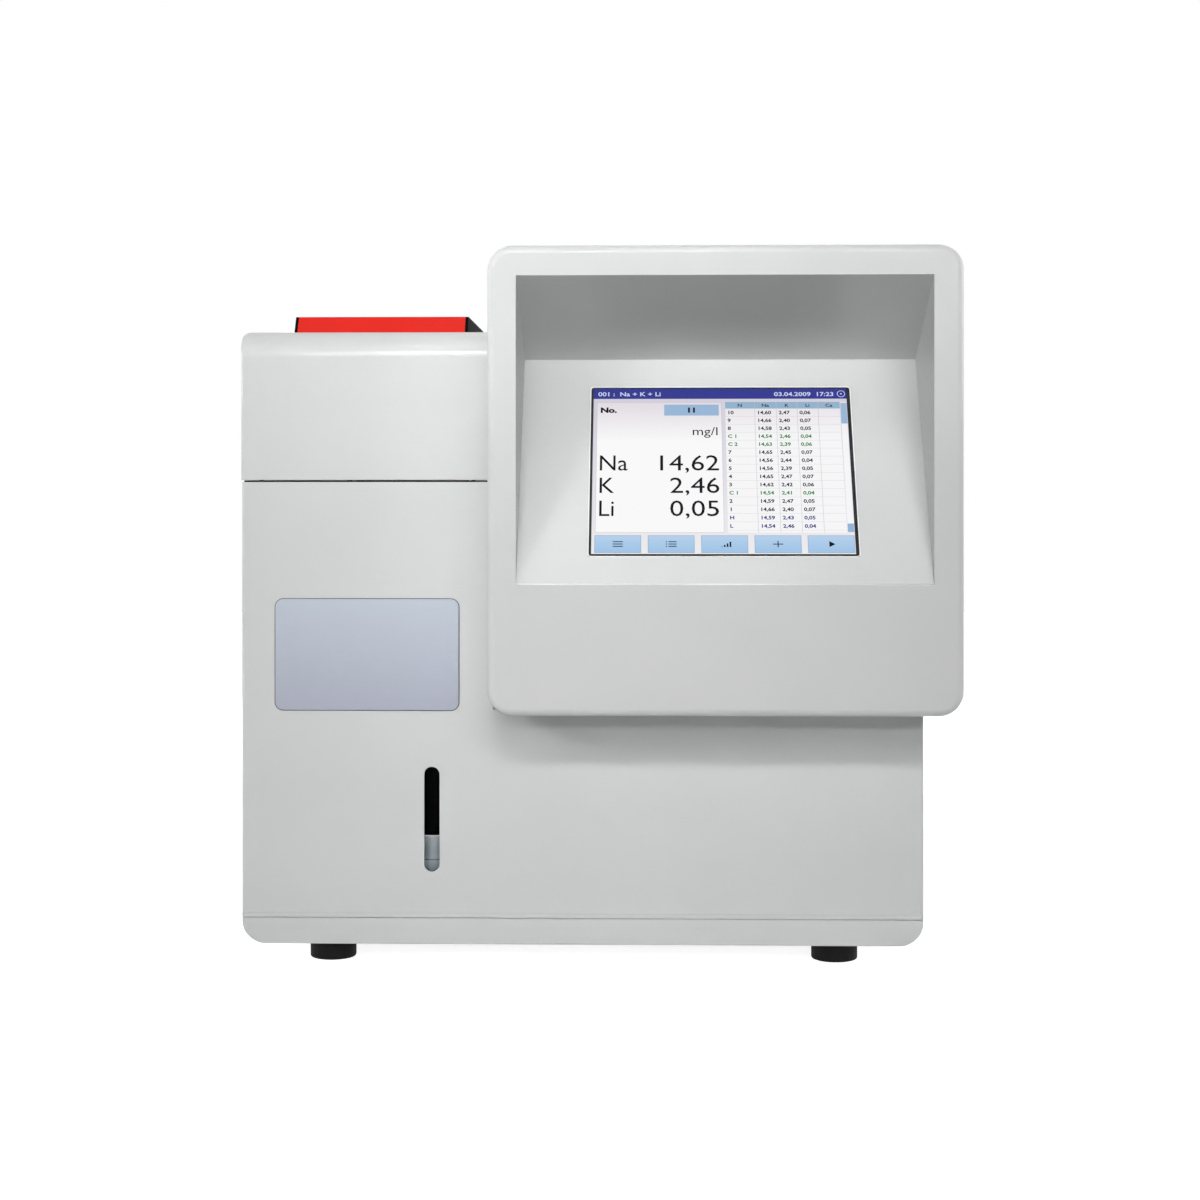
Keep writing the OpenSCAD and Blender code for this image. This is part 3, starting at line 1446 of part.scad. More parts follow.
module display_module() {
    gap = surround_t + fit / 2;
    front = glass_sink + glass_t;
    back = head_wall + flange_t;
    color(steel) on_panel(screen_rise) {
        translate([gap - screen_w / 2, gap, -back - eps]) cube([screen_w - 2 * gap, screen_h - 2 * gap, back - front + eps]);
        translate([-screen_w / 2 - flange_w, -flange_w, -back - module_t])
            cube([screen_w + 2 * flange_w, screen_h + 2 * flange_w, module_t]);
    }
}

// Folded bracket screwed to the moulding's bosses, holding the module in
module display_bracket() {
    half = bracket_boss_x + 6;
    window = 24;
    color(steel) on_panel(screen_rise) difference() {
        translate([-half, 4, -module_back - bracket_t]) cube([2 * half, screen_h - 8, bracket_t]);
        translate([window - half, window + 4, -module_back - bracket_t - cut])
            cube([2 * half - 2 * window, screen_h - 2 * window - 8, bracket_t + 2 * cut]);
    }
}

// Board that stands on the rear shell's lower rail
module controller_board() {
    w = 180;
    h = 130;
    y = seam_y + 30;
    color(board_green) translate([head_x0 + head_w / 2 - w / 2, y, head_z + head_wall]) {
        cube([w, board_t, h]);
        translate([20, -4, 60]) cube([36, 4 + eps, 36]);
        for (i = [0 : 4]) translate([76 + 18 * i, -3, 80]) cube([12, 3 + eps, 20]);
        for (x = [10, w - 22]) translate([x, 0, 0]) cube([12, 16, board_t]);
    }
}

// --- Cover, chimney and hinges

cover_x0 = body_x0 - cover_proud;
cover_y0 = body_y0 - cover_proud;
cover_w = column_x1 - cover_x0;
cover_d = body_y1 - cover_y0;
hinge_y = body_y1 + knuckle_r + fit;
hinge_z = (column_z + cover_z) / 2;

function hinge_places() = [body_x0 + hinge_inset, column_x1 - hinge_inset - hinge_w];

module cover_form(w, d, h, side_r, end_r) {
    intersection() {
        along_y(d) cap_rect(w, h, side_r);
        along_x(w) cap_rect(d, h, end_r);
        linear_extrude(h) round_rect(w, d, edge_r);
    }
}

module cover_shell() {
    in = cover_wall;
    duct_x = flame_x - duct_w / 2;
    duct_y = flame_y - duct_w / 2;
    post_h = shield_drop - cover_wall;
    color(shell_grey) difference() {
        union() {
            difference() {
                translate([cover_x0, cover_y0, cover_z]) cover_form(cover_w, cover_d, cover_h, cover_side_r, cover_edge_r);
                translate([cover_x0 + in, cover_y0 + in, cover_z - in]) intersection() {
                    along_y(cover_d - 2 * in) cap_rect(cover_w - 2 * in, cover_h, cover_side_r - in);
                    along_x(cover_w - 2 * in) cap_rect(cover_d - 2 * in, cover_h, cover_edge_r - in);
                }
            }
            level_places(shield_places(), cover_top - shield_drop) cylinder(r = 4, h = post_h + eps);
        }
        translate([duct_x, duct_y, cover_top - cover_wall - cut]) cube([duct_w, duct_w, cover_wall + 2 * cut]);
    }
}

function shield_places() = let (in = duct_w / 2 + 9)
    [for (x = [flame_x - in, flame_x + in], y = [flame_y - in, flame_y + in]) [x, y]];

// Stainless sheet with a raised collar, held on four posts under the cover's top
module heat_shield() {
    side = duct_w + 30;
    mouth = duct_w - 6;
    z = cover_top - shield_drop - shield_t;
    collar = shield_drop + shield_t;
    color(steel) translate([flame_x, flame_y, z]) difference() {
        union() {
            translate([-side / 2, -side / 2, 0]) cube([side, side, shield_t]);
            translate([-mouth / 2 - shield_t, -mouth / 2 - shield_t, 0]) cube([mouth + 2 * shield_t, mouth + 2 * shield_t, collar]);
        }
        translate([-mouth / 2, -mouth / 2, -cut]) cube([mouth, mouth, collar + 2 * cut]);
    }
}

// Side outline of the chimney above the cover: leaning front, level top, upright rear
module chimney_outline(t) {
    lead = chimney_h * tan(chimney_lean);
    slant = t / cos(chimney_lean);
    polygon([[slant - lead, 0], [slant - t * tan(chimney_lean), chimney_h - t], [chimney_d - t, chimney_h - t],
        [chimney_d - t, 0]]);
}

// Red hood folded from one sheet, with slots for the hot gas in its top
module chimney_hood() {
    pitch = chimney_d / (chimney_slots + 1);
    side = 12;
    color(red) translate([chimney_x0 + cheek_t, chimney_y0, cover_top]) difference() {
        along_x(chimney_w) difference() {
            chimney_outline(0);
            translate([0, -eps]) chimney_outline(hood_t);
        }
        for (i = [1 : chimney_slots]) translate([side, i * pitch - chimney_slot_w / 2, chimney_h - 2 * hood_t])
            cube([chimney_w - 2 * side, chimney_slot_w, 3 * hood_t]);
    }
}

module chimney_cheeks() {
    color(black) for (x = [chimney_x0, chimney_x0 + cheek_t + chimney_w])
        translate([x, chimney_y0, cover_top]) along_x(cheek_t) chimney_outline(0);
}

// Leaves of both hinges that are fixed to the rear panel, each with its two outer knuckles
module hinge_base_leaves() {
    part = hinge_w / 3;
    color(steel) for (x = hinge_places()) translate([x, 0, 0]) difference() {
        union() {
            translate([0, body_y1, hinge_z - leaf_l - knuckle_r]) cube([hinge_w, leaf_t, leaf_l]);
            for (s = [0, 2 * part + fit]) translate([s, hinge_y, hinge_z]) rod_x(knuckle_r, part - fit);
            for (s = [0, 2 * part + fit]) translate([s, body_y1, hinge_z - knuckle_r - 1]) cube([part - fit, leaf_t, knuckle_r + 1]);
        }
        translate([-cut, hinge_y, hinge_z]) rod_x(pin_r + pin_play, hinge_w + 2 * cut);
    }
}

module hinge_pins() {
    head_l = 1.2;
    color(steel) for (x = hinge_places()) translate([x, hinge_y, hinge_z]) {
        rod_x(pin_r, hinge_w);
        translate([-head_l, 0, 0]) rod_x(pin_r + 0.9, head_l);
    }
}

module hinge_cover_leaves() {
    part = hinge_w / 3;
    color(steel) for (x = hinge_places()) translate([x, 0, 0]) difference() {
        union() {
            translate([0, body_y1, hinge_z + knuckle_r + fit]) cube([hinge_w, leaf_t, leaf_l]);
            translate([part, hinge_y, hinge_z]) rod_x(knuckle_r, part);
            translate([part, body_y1, hinge_z]) cube([part, leaf_t, knuckle_r + fit + eps]);
        }
        translate([-cut, hinge_y, hinge_z]) rod_x(pin_r + pin_play, hinge_w + 2 * cut);
    }
}

// --- Assembly

base_tray();
main_housing();
deck_rails();
rear_panel();
foot_at(0);  // foot_front_left
foot_at(1);  // foot_rear_left
foot_at(2);  // foot_front_right
foot_at(3);  // foot_rear_right
foot_screws();
panel_screws();
name_plate();
sight_window();
siphon_vessel();
siphon_bracket();
bulkhead();
flame_deck();
cover_bumpers();
mixing_chamber();
nebuliser();
sample_port();
burner_stem();
burner_head();
flame_tube_seat();
flame_tube();
igniter();
optics_block();
lens_barrels();
optical_filters();
detector_board();
gas_inlet();
air_inlet();
drain_outlet();
gas_valve();
gas_tube();
air_tube();
drain_tubes();
power_inlet();
power_rocker();
fuse_drawer();
power_supply();
main_board();
data_sockets();
fan_frame();
fan_guard();
fan_rotor();
head_seat();
head_bezel();
head_shell();
head_screws();
display_surround();
touch_glass();
display_module();
display_bracket();
controller_board();
hinge_base_leaves();
hinge_pins();
hinge_cover_leaves();
cover_shell();
heat_shield();
chimney_hood();
chimney_cheeks();
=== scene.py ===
"""Bench flame photometer: its finishes, its lit display and its trim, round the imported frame.

Every length is in metres unless a name ends in ``_mm``. X runs to the right, Y away from the
viewer and Z up from the bench, as in the frame.
"""

from __future__ import annotations

import logging
import math
from dataclasses import dataclass
from enum import Enum
from functools import cache
from typing import Sequence

import bmesh
import bpy
from bmesh.types import BMesh, BMVert
from bpy.types import ID, Material, Mesh, Node, NodeSocket, NodeTree, Object, World
from mathutils import Matrix, Vector

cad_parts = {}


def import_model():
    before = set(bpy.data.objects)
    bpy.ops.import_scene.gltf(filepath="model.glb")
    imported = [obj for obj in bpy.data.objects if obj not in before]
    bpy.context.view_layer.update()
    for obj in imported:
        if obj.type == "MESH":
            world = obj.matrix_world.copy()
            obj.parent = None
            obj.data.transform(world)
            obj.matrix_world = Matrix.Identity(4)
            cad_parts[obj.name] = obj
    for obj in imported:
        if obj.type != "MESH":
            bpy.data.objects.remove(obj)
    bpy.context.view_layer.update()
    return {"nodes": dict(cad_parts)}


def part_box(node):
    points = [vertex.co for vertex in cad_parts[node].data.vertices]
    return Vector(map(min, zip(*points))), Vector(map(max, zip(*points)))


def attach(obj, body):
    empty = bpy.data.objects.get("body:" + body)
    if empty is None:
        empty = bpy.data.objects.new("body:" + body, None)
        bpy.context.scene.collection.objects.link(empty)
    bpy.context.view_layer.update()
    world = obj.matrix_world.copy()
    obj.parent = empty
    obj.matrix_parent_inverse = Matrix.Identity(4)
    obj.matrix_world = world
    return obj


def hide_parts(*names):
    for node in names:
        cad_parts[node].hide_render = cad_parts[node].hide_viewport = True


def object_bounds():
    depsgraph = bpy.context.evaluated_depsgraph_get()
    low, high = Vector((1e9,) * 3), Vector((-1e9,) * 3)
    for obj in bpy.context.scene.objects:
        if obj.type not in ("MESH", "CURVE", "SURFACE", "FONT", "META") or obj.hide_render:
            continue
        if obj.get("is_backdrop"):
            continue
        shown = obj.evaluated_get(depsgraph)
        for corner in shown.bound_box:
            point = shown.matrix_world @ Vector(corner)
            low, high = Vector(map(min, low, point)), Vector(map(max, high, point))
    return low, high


LOG = logging.getLogger("flame_photometer")
MM = 0.001
Colour = tuple[float, float, float, float]
Box2D = tuple[float, float, float, float]
WHITE: Colour = (1.0, 1.0, 1.0, 1.0)


class Body(str, Enum):
    """The bodies of the frame that the new pieces ride on."""

    HOUSING = "housing"
    COVER = "cover"


class Align(str, Enum):
    """Where a line of figures starts from its place."""

    LEFT = "LEFT"
    CENTRE = "CENTER"
    RIGHT = "RIGHT"


def tint(red: int, green: int, blue: int) -> Colour:
    """Turns a colour as a screen shows it into the linear one that a shader takes.

    Args:
        red: Red, from 0 to 255.
        green: Green, from 0 to 255.
        blue: Blue, from 0 to 255.

    Returns:
        The linear colour, with an alpha of 1.
    """

    def linear(level: int) -> float:
        """Gives one channel's light, from the curve of a common screen."""
        share = level / 255
        return share / 12.92 if share <= 0.04045 else ((share + 0.055) / 1.055) ** 2.4

    return linear(red), linear(green), linear(blue), 1.0


# --- Shader groups -------------------------------------------------------------------------


class NodeKit:
    """Short ways to add and join the nodes of one shader tree."""

    tree: NodeTree

    def feed(self, target: NodeSocket, value: object) -> None:
        """Feeds a socket from another one, or gives it a fixed value.

        Args:
            target: The socket that is fed.
            value: The socket that feeds it, or its value.
        """
        if isinstance(value, NodeSocket):
            self.tree.links.new(value, target)
        else:
            target.default_value = value

    def add(self, kind: str, inputs: dict[str | int, object] | None = None, **settings: object) -> Node:
        """Adds a node.

        Args:
            kind: The node's type.
            inputs: The name or number of each input that is fed, with its socket or value.
            settings: The node's own settings.

        Returns:
            The new node.
        """
        node = self.tree.nodes.new(kind)
        for key, value in settings.items():
            setattr(node, key, value)
        for key, value in (inputs or {}).items():
            self.feed(node.inputs[key], value)
        return node

    def fill(self, node: Node, levels: dict[str, object]) -> None:
        """Feeds a node's inputs.

        Args:
            node: The node.
            levels: The socket or value of each input, named in lower case with underscores.
        """
        names = {socket.name.lower().replace(" ", "_"): socket for socket in node.inputs}
        for key, value in levels.items():
            self.feed(names[key], value)

    def math(self, operation: str, first: object, second: object) -> NodeSocket:
        """Adds a sum of two sockets or numbers and gives its result."""
        return self.add("ShaderNodeMath", {0: first, 1: second}, operation=operation).outputs[0]

    def place(self, space: str = "Object") -> NodeSocket:
        """Gives the place of the shaded point, or the direction of a ray that hits the world."""
        return self.add("ShaderNodeTexCoord").outputs[space]

    def ranged(self, source: NodeSocket, low: float, high: float,
               start: tuple[float, float] = (0.0, 1.0)) -> NodeSocket:
        """Spreads a value's range over another, held at both ends."""
        return self.add("ShaderNodeMapRange", {"Value": source, "From Min": start[0], "From Max": start[1],
                                               "To Min": low, "To Max": high}).outputs[0]


class GroupTree(NodeKit):
    """A shader node group under construction."""

    def __init__(self, name: str) -> None:
        """Makes the empty group with its input and output nodes.

        Args:
            name: The group's name.
        """
        self.tree = bpy.data.node_groups.new(name, "ShaderNodeTree")
        self.entry = self.add("NodeGroupInput")
        self.exit = self.add("NodeGroupOutput")

    def takes(self, name: str, value: float) -> None:
        """Adds an input of one number, with its default."""
        socket = self.tree.interface.new_socket(name, in_out="INPUT", socket_type="NodeSocketFloat")
        socket.default_value = value

    def gives(self, name: str, source: NodeSocket) -> None:
        """Adds an output of one number and feeds it."""
        self.tree.interface.new_socket(name, in_out="OUTPUT", socket_type="NodeSocketFloat")
        self.feed(self.exit.inputs[name], source)

    def scaled_place(self, size_input: str) -> NodeSocket:
        """Gives the place on the piece, counted in units of one of the group's inputs."""
        per_metre = self.math("DIVIDE", 1.0, self.entry.outputs[size_input])
        return self.add("ShaderNodeVectorMath", {0: self.place(), "Scale": per_metre}, operation="SCALE").outputs[0]

    def noise(self, place: NodeSocket, detail: float, rough: float) -> NodeSocket:
        """Adds a noise of unit size at a place and gives its value from 0 to 1."""
        return self.add("ShaderNodeTexNoise", {"Scale": 1.0, "Detail": detail, "Roughness": rough,
                                               "Vector": place}).outputs[0]


class Effects:
    """The effects that several materials share, each built once as a node group."""

    @staticmethod
    @cache
    def grain() -> NodeTree:
        """Builds the fine pebbled skin of a moulding or of powder paint, with slow changes of tone.

        Returns:
            The group, with a height for the skin and a tone from 0 to 1.
        """
        group = GroupTree("moulded_grain")
        group.takes("Grain Size", 0.6 * MM)
        group.takes("Blotch Size", 45 * MM)
        group.gives("Height", group.noise(group.scaled_place("Grain Size"), 2.0, 0.55))
        group.gives("Tone", group.noise(group.scaled_place("Blotch Size"), 3.0, 0.5))
        return group.tree

    @staticmethod
    @cache
    def brushed() -> NodeTree:
        """Builds fine parallel lines along X, as left by a brush or a grinding belt.

        Returns:
            The group, with the height and the tone of the lines.
        """
        group = GroupTree("brushed_lines")
        group.takes("Line Width", 0.25 * MM)
        stretched = group.add("ShaderNodeVectorMath", {0: group.scaled_place("Line Width"), 1: (0.015, 1.0, 1.0)},
                              operation="MULTIPLY")
        lines = group.noise(stretched.outputs[0], 2.0, 0.6)
        group.gives("Height", lines)
        group.gives("Tone", lines)
        return group.tree

    @staticmethod
    @cache
    def dust() -> NodeTree:
        """Builds a thin film of dust that lies only on what faces up.

        Returns:
            The group, with the film's mask.
        """
        group = GroupTree("settled_dust")
        group.takes("Patch Size", 14 * MM)
        group.takes("Amount", 0.2)
        facing = group.add("ShaderNodeNewGeometry").outputs["Normal"]
        rise = group.add("ShaderNodeSeparateXYZ", {0: facing}).outputs["Z"]
        upward = group.math("POWER", group.math("MAXIMUM", rise, 0.0), 6.0)
        lying = group.math("MULTIPLY", upward, group.noise(group.scaled_place("Patch Size"), 5.0, 0.6))
        group.gives("Mask", group.math("MULTIPLY", lying, group.entry.outputs["Amount"]))
        return group.tree


# --- Finishes ------------------------------------------------------------------------------


class Shader(NodeKit):
    """A new material with one Principled shader, and short ways to build on it."""

    def __init__(self, name: str) -> None:
        """Makes the material.

        Args:
            name: The finish's name.
        """
        self.material = bpy.data.materials.new(name)
        self.material.use_nodes = True
        self.tree = self.material.node_tree
        self.tree.nodes.clear()
        self.surface = self.add("ShaderNodeBsdfPrincipled")
        self.add("ShaderNodeOutputMaterial", {"Surface": self.surface.outputs["BSDF"]})

    def set(self, **levels: object) -> None:
        """Feeds the shader's own sockets, named in lower case with underscores."""
        self.fill(self.surface, levels)

    def effect(self, tree: NodeTree, **levels: float) -> dict[str, NodeSocket]:
        """Places a shared effect with its values for this material.

        Args:
            tree: The effect's node group.
            levels: Its values, named in lower case with underscores.

        Returns:
            Its outputs by name.
        """
        node = self.add("ShaderNodeGroup", node_tree=tree)
        self.fill(node, levels)
        return {socket.name: socket for socket in node.outputs}

    def mixed(self, mask: NodeSocket, low: object, high: object) -> NodeSocket:
        """Mixes two colours, or a socket and a colour, where the mask is the second one's share."""
        return self.add("ShaderNodeMix", {"Factor": mask, 6: low, 7: high}, data_type="RGBA").outputs[2]

    def height_share(self, z_low: float, z_high: float) -> NodeSocket:
        """Gives how far up a stretch a point lies, from 0 at its foot to 1 at its top."""
        height = self.add("ShaderNodeSeparateXYZ", {0: self.place()}).outputs["Z"]
        return self.ranged(height, 0.0, 1.0, (z_low, z_high))

    def bump(self, height: NodeSocket, depth: float) -> None:
        """Feeds the shader's normal from a height from 0 to 1, whose 1 is that depth in metres."""
        raised = self.add("ShaderNodeBump", {"Distance": depth, "Strength": 1.0, "Height": height})
        self.set(normal=raised.outputs["Normal"])


@dataclass(frozen=True)
class Finish:
    """What every finish has: a name and the slot that it stands for."""

    name: str
    slot: str

    def build(self) -> Material:
        """Makes the material.

        Returns:
            The material.
        """
        shader = Shader(self.name)
        self.lay(shader)
        return shader.material

    def lay(self, shader: Shader) -> None:
        """Gives the shader its nodes and levels.

        Args:
            shader: The new material's shader.
        """
        raise NotImplementedError


@dataclass(frozen=True)
class GrainedPaint(Finish):
    """Satin powder paint or moulded plastic: two near tones, a fine pebbled skin, a little dust."""

    light: Colour
    dark: Colour
    rough: tuple[float, float] = (0.42, 0.5)
    grain: float = 0.7 * MM
    depth: float = 0.012 * MM
    blotch: float = 45 * MM
    specular: float = 0.4
    dust: float = 0.0
    coat: float = 0.0

    def lay(self, shader: Shader) -> None:
        """Two tones by slow blotches, dust on top and the skin's grain.

        Args:
            shader: The new material's shader.
        """
        skin = shader.effect(Effects.grain(), grain_size=self.grain, blotch_size=self.blotch)
        colour = shader.mixed(skin["Tone"], self.dark, self.light)
        if self.dust:
            film = shader.effect(Effects.dust(), amount=self.dust)
            colour = shader.mixed(film["Mask"], colour, tint(176, 172, 164))
        shader.set(base_color=colour, roughness=shader.ranged(skin["Tone"], *self.rough),
                   specular_ior_level=self.specular, coat_weight=self.coat, coat_roughness=0.16)
        shader.bump(skin["Height"], self.depth)


@dataclass(frozen=True)
class WorkedMetal(Finish):
    """Bare metal with the fine lines of brushing or turning."""

    light: Colour
    dark: Colour
    rough: tuple[float, float] = (0.22, 0.36)
    line: float = 0.25 * MM
    depth: float = 0.004 * MM

    def lay(self, shader: Shader) -> None:
        """Two tones, the roughness and the bump along the lines.

        Args:
            shader: The new material's shader.
        """
        lines = shader.effect(Effects.brushed(), line_width=self.line)
        shader.set(base_color=shader.mixed(lines["Tone"], self.dark, self.light), metallic=1.0,
                   roughness=shader.ranged(lines["Tone"], *self.rough))
        shader.bump(lines["Height"], self.depth)


@dataclass(frozen=True)
class SatinPlate(Finish):
    """Satin anodised sheet with a painted reflection: its tone grows lighter towards the top, as if it mirrored a
    paler sky there.
    """

    low: Colour
    high: Colour
    node: str

    def lay(self, shader: Shader) -> None:
        """Paints the reflection as a tone that fades lighter up the plate, and lays the lines over it.

        Args:
            shader: The new material's shader.
        """
        low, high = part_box(self.node)
        lines = shader.effect(Effects.brushed(), line_width=0.3 * MM)
        # Painted reflection: the colour is lighter towards the plate's top.
        painted_reflection = shader.mixed(shader.height_share(low.z, high.z), self.low, self.high)
        reflection_with_lines = shader.mixed(shader.ranged(lines["Tone"], 0.0, 0.12), painted_reflection, tint(150, 156, 172))
        shader.set(base_color=reflection_with_lines, roughness=shader.ranged(lines["Tone"], 0.38, 0.48), metallic=0.3,
                   specular_ior_level=0.3)
        shader.bump(lines["Height"], 0.002 * MM)


@dataclass(frozen=True)
class ClearGlass(Finish):
    """Clear glass or acrylic with a faint unevenness of its surface."""

    colour: Colour
    ior: float = 1.47
    rough: tuple[float, float] = (0.01, 0.04)
    clear: float = 1.0
    specular: float = 0.5

    def lay(self, shader: Shader) -> None:
        """A clear body with an uneven roughness."""
        skin = shader.effect(Effects.grain(), grain_size=6 * MM, blotch_size=30 * MM)
        shader.set(base_color=self.colour, ior=self.ior, transmission_weight=self.clear,
                   specular_ior_level=self.specular, roughness=shader.ranged(skin["Tone"], *self.rough))


@dataclass(frozen=True)
class CircuitBoard(Finish):
    """Solder mask over copper tracks, which run square to each other."""

    mask_colour: Colour
    track_colour: Colour
    pitch: float = 2.4 * MM

    def lay(self, shader: Shader) -> None:
        """Tracks as the joints of a brick pattern.

        Args:
            shader: The new material's shader.
        """
        turned = shader.add("ShaderNodeMapping", {"Rotation": (math.radians(90), 0, 0), "Vector": shader.place()})
        tracks = shader.add("ShaderNodeTexBrick", {
            "Vector": turned.outputs["Vector"], "Scale": 1 / self.pitch, "Mortar Size": 0.06, "Brick Width": 3.2,
            "Row Height": 0.7}, offset=0.35, squash=1.0).outputs["Fac"]
        shader.set(base_color=shader.mixed(tracks, self.mask_colour, self.track_colour), roughness=0.32,
                   coat_weight=0.4)
        shader.bump(tracks, 0.03 * MM)


@dataclass(frozen=True)
class LitInk(Finish):
    """A glowing colour, of the lit display or of the meniscus line's painted highlight, which may fade between two
    heights above the bench.
    """

    low: Colour
    high: Colour
    z_low: float = 0.0
    z_high: float = 1.0
    strength: float = 0.94
    glow: float = 0.15

    def lay(self, shader: Shader) -> None:
        """Light of full strength only for the eye, also through glass.

        Args:
            shader: The new material's shader.
        """
        path = shader.add("ShaderNodeLightPath").outputs
        direct = shader.math("MAXIMUM", path["Is Camera Ray"], path["Is Transmission Ray"])
        share = shader.height_share(self.z_low, self.z_high)
        shader.set(emission_strength=shader.ranged(direct, self.glow * self.strength, self.strength),
                   emission_color=shader.mixed(share, self.low, self.high),
                   base_color=shader.mixed(share, tint(4, 4, 6), tint(6, 6, 8)),
                   roughness=0.5, specular_ior_level=0.06)


@dataclass(frozen=True)
class StandingLiquid(Finish):
    """Waste water in a glass, coloured by its height in it; the ramp of tones holds painted light."""

    z_low: float
    z_high: float
    tones: tuple[tuple[float, Colour], ...]

    def lay(self, shader: Shader) -> None:
        """A ramp of tones over the height.

        Args:
            shader: The new material's shader.
        """
        ramp = shader.add("ShaderNodeValToRGB", {"Fac": shader.height_share(self.z_low, self.z_high)})
        stops = ramp.color_ramp.elements
        stops[0].position, stops[0].color = self.tones[0]
        stops[1].position, stops[1].color = self.tones[-1]
        for share, tone in self.tones[1:-1]:
            stops.new(share).color = tone
        shader.set(base_color=ramp.outputs["Color"], roughness=0.25, specular_ior_level=0.5)


SHELL = GrainedPaint("shell_paint", "shell", tint(218, 219, 218), tint(212, 214, 213), rough=(0.34, 0.42),
                     specular=0.2, dust=0.04, coat=0.45)
# Paler than the shell paint: a painted highlight for the narrow lips that catch the light.
PAINTED_HIGHLIGHT = GrainedPaint("rim_paint", "shell", tint(250, 251, 250), tint(244, 246, 246), rough=(0.3, 0.36))
# A near-black, nearly unshining finish that is painted shade: it fills the gap under the cover and darkens the
# bracket behind the sight slot.
SHADE_BLACK = GrainedPaint("gasket", "black_plastic", tint(7, 7, 8), tint(4, 4, 5), rough=(0.7, 0.85), specular=0.02)
SHELL_DARK = GrainedPaint("panel_paint", "panel_metal", tint(206, 209, 208), tint(197, 200, 199))
RUBBER = GrainedPaint("foot_rubber", "foot_rubber", tint(22, 22, 24), tint(15, 15, 16),
                      rough=(0.62, 0.8), depth=0.03 * MM, specular=0.2, dust=0.1)
STEEL = WorkedMetal("bright_steel", "bright_steel", tint(205, 206, 209), tint(172, 174, 178))
STAINLESS = WorkedMetal("stainless", "stainless", tint(200, 200, 203), tint(160, 161, 165), rough=(0.25, 0.42))
PLATE = SatinPlate("plate_metal", "plate_metal", tint(172, 175, 189), tint(192, 200, 210), "name_plate")
# A dark sheet whose thin edge round the name plate is painted shade along the plate's edge.
PLATE_EDGE_SHADOW = GrainedPaint("plate_pad", "plate_metal", tint(86, 88, 96), tint(72, 74, 82))
HINGE_STEEL = WorkedMetal("hinge_steel", "stainless", tint(148, 150, 154), tint(122, 124, 128), rough=(0.45, 0.6))
BRASS = WorkedMetal("brass", "brass", tint(214, 180, 104), tint(184, 147, 76), rough=(0.24, 0.38))
SUPPLY = WorkedMetal("supply_metal", "supply_metal", tint(196, 198, 200), tint(170, 172, 176), rough=(0.35, 0.5))
WINDOW = ClearGlass("clear_window", "clear_window", (0.97, 0.98, 0.99, 1.0), ior=1.04, rough=(0.0, 0.02),
                    specular=0.3)
SIPHON_GLASS = ClearGlass("siphon_glass", "glassware", (0.97, 0.98, 0.99, 1.0), ior=1.04, rough=(0.0, 0.01),
                          specular=0.3)
GLASSWARE = ClearGlass("glassware", "glassware", (0.97, 0.985, 0.99, 1.0), specular=0.25)
FILTERS = ClearGlass("filter_glass", "filter_glass", (0.85, 0.42, 0.08, 1.0), ior=1.52)
BLACK_PLASTIC = GrainedPaint("black_plastic", "black_plastic", tint(38, 38, 40), tint(30, 30, 32),
                             rough=(0.45, 0.6), depth=0.02 * MM, dust=0.1)
ROCKER = GrainedPaint("rocker_plastic", "rocker_plastic", tint(30, 30, 31), tint(25, 25, 26),
                      rough=(0.16, 0.24), depth=0.003 * MM)
WHITE_PLASTIC = GrainedPaint("white_plastic", "white_plastic", tint(232, 231, 226), tint(223, 222, 216))
CERAMIC = GrainedPaint("ceramic", "ceramic", tint(238, 233, 222), tint(226, 219, 206), rough=(0.6, 0.75))
BLACK_METAL = GrainedPaint("black_metal", "black_metal", tint(46, 46, 48), tint(36, 36, 38),
                           rough=(0.5, 0.62), depth=0.015 * MM)
BOARD = CircuitBoard("board", "board", tint(22, 92, 52), tint(48, 132, 78))
TUBE_RED = GrainedPaint("tube_red", "tube_red", tint(196, 62, 40), tint(178, 50, 32), rough=(0.35, 0.45))
TUBE_BLUE = GrainedPaint("tube_blue", "tube_blue", tint(58, 98, 178), tint(46, 82, 158), rough=(0.3, 0.4))
TUBE_CLEAR = ClearGlass("tube_clear", "tube_clear", (0.9, 0.9, 0.86, 1.0), rough=(0.2, 0.3), clear=0.7)
CHIMNEY_RED = GrainedPaint("chimney_red", "chimney_red", tint(230, 34, 18), tint(224, 28, 14),
                           rough=(0.36, 0.46), depth=0.006 * MM)
CHIMNEY_BLACK = GrainedPaint("chimney_black", "chimney_black", tint(16, 16, 17), tint(11, 11, 12),
                             rough=(0.6, 0.75), depth=0.006 * MM, specular=0.03)
# A glowing line that is a painted highlight at the liquid's rim, where the glass bends the light.
MENISCUS_GLOW = LitInk("meniscus_light", "glassware", tint(236, 238, 238), tint(236, 238, 238), strength=0.85)
SCREEN_BACK = LitInk("screen_dark", "screen_glass", tint(30, 30, 44), tint(36, 36, 52))

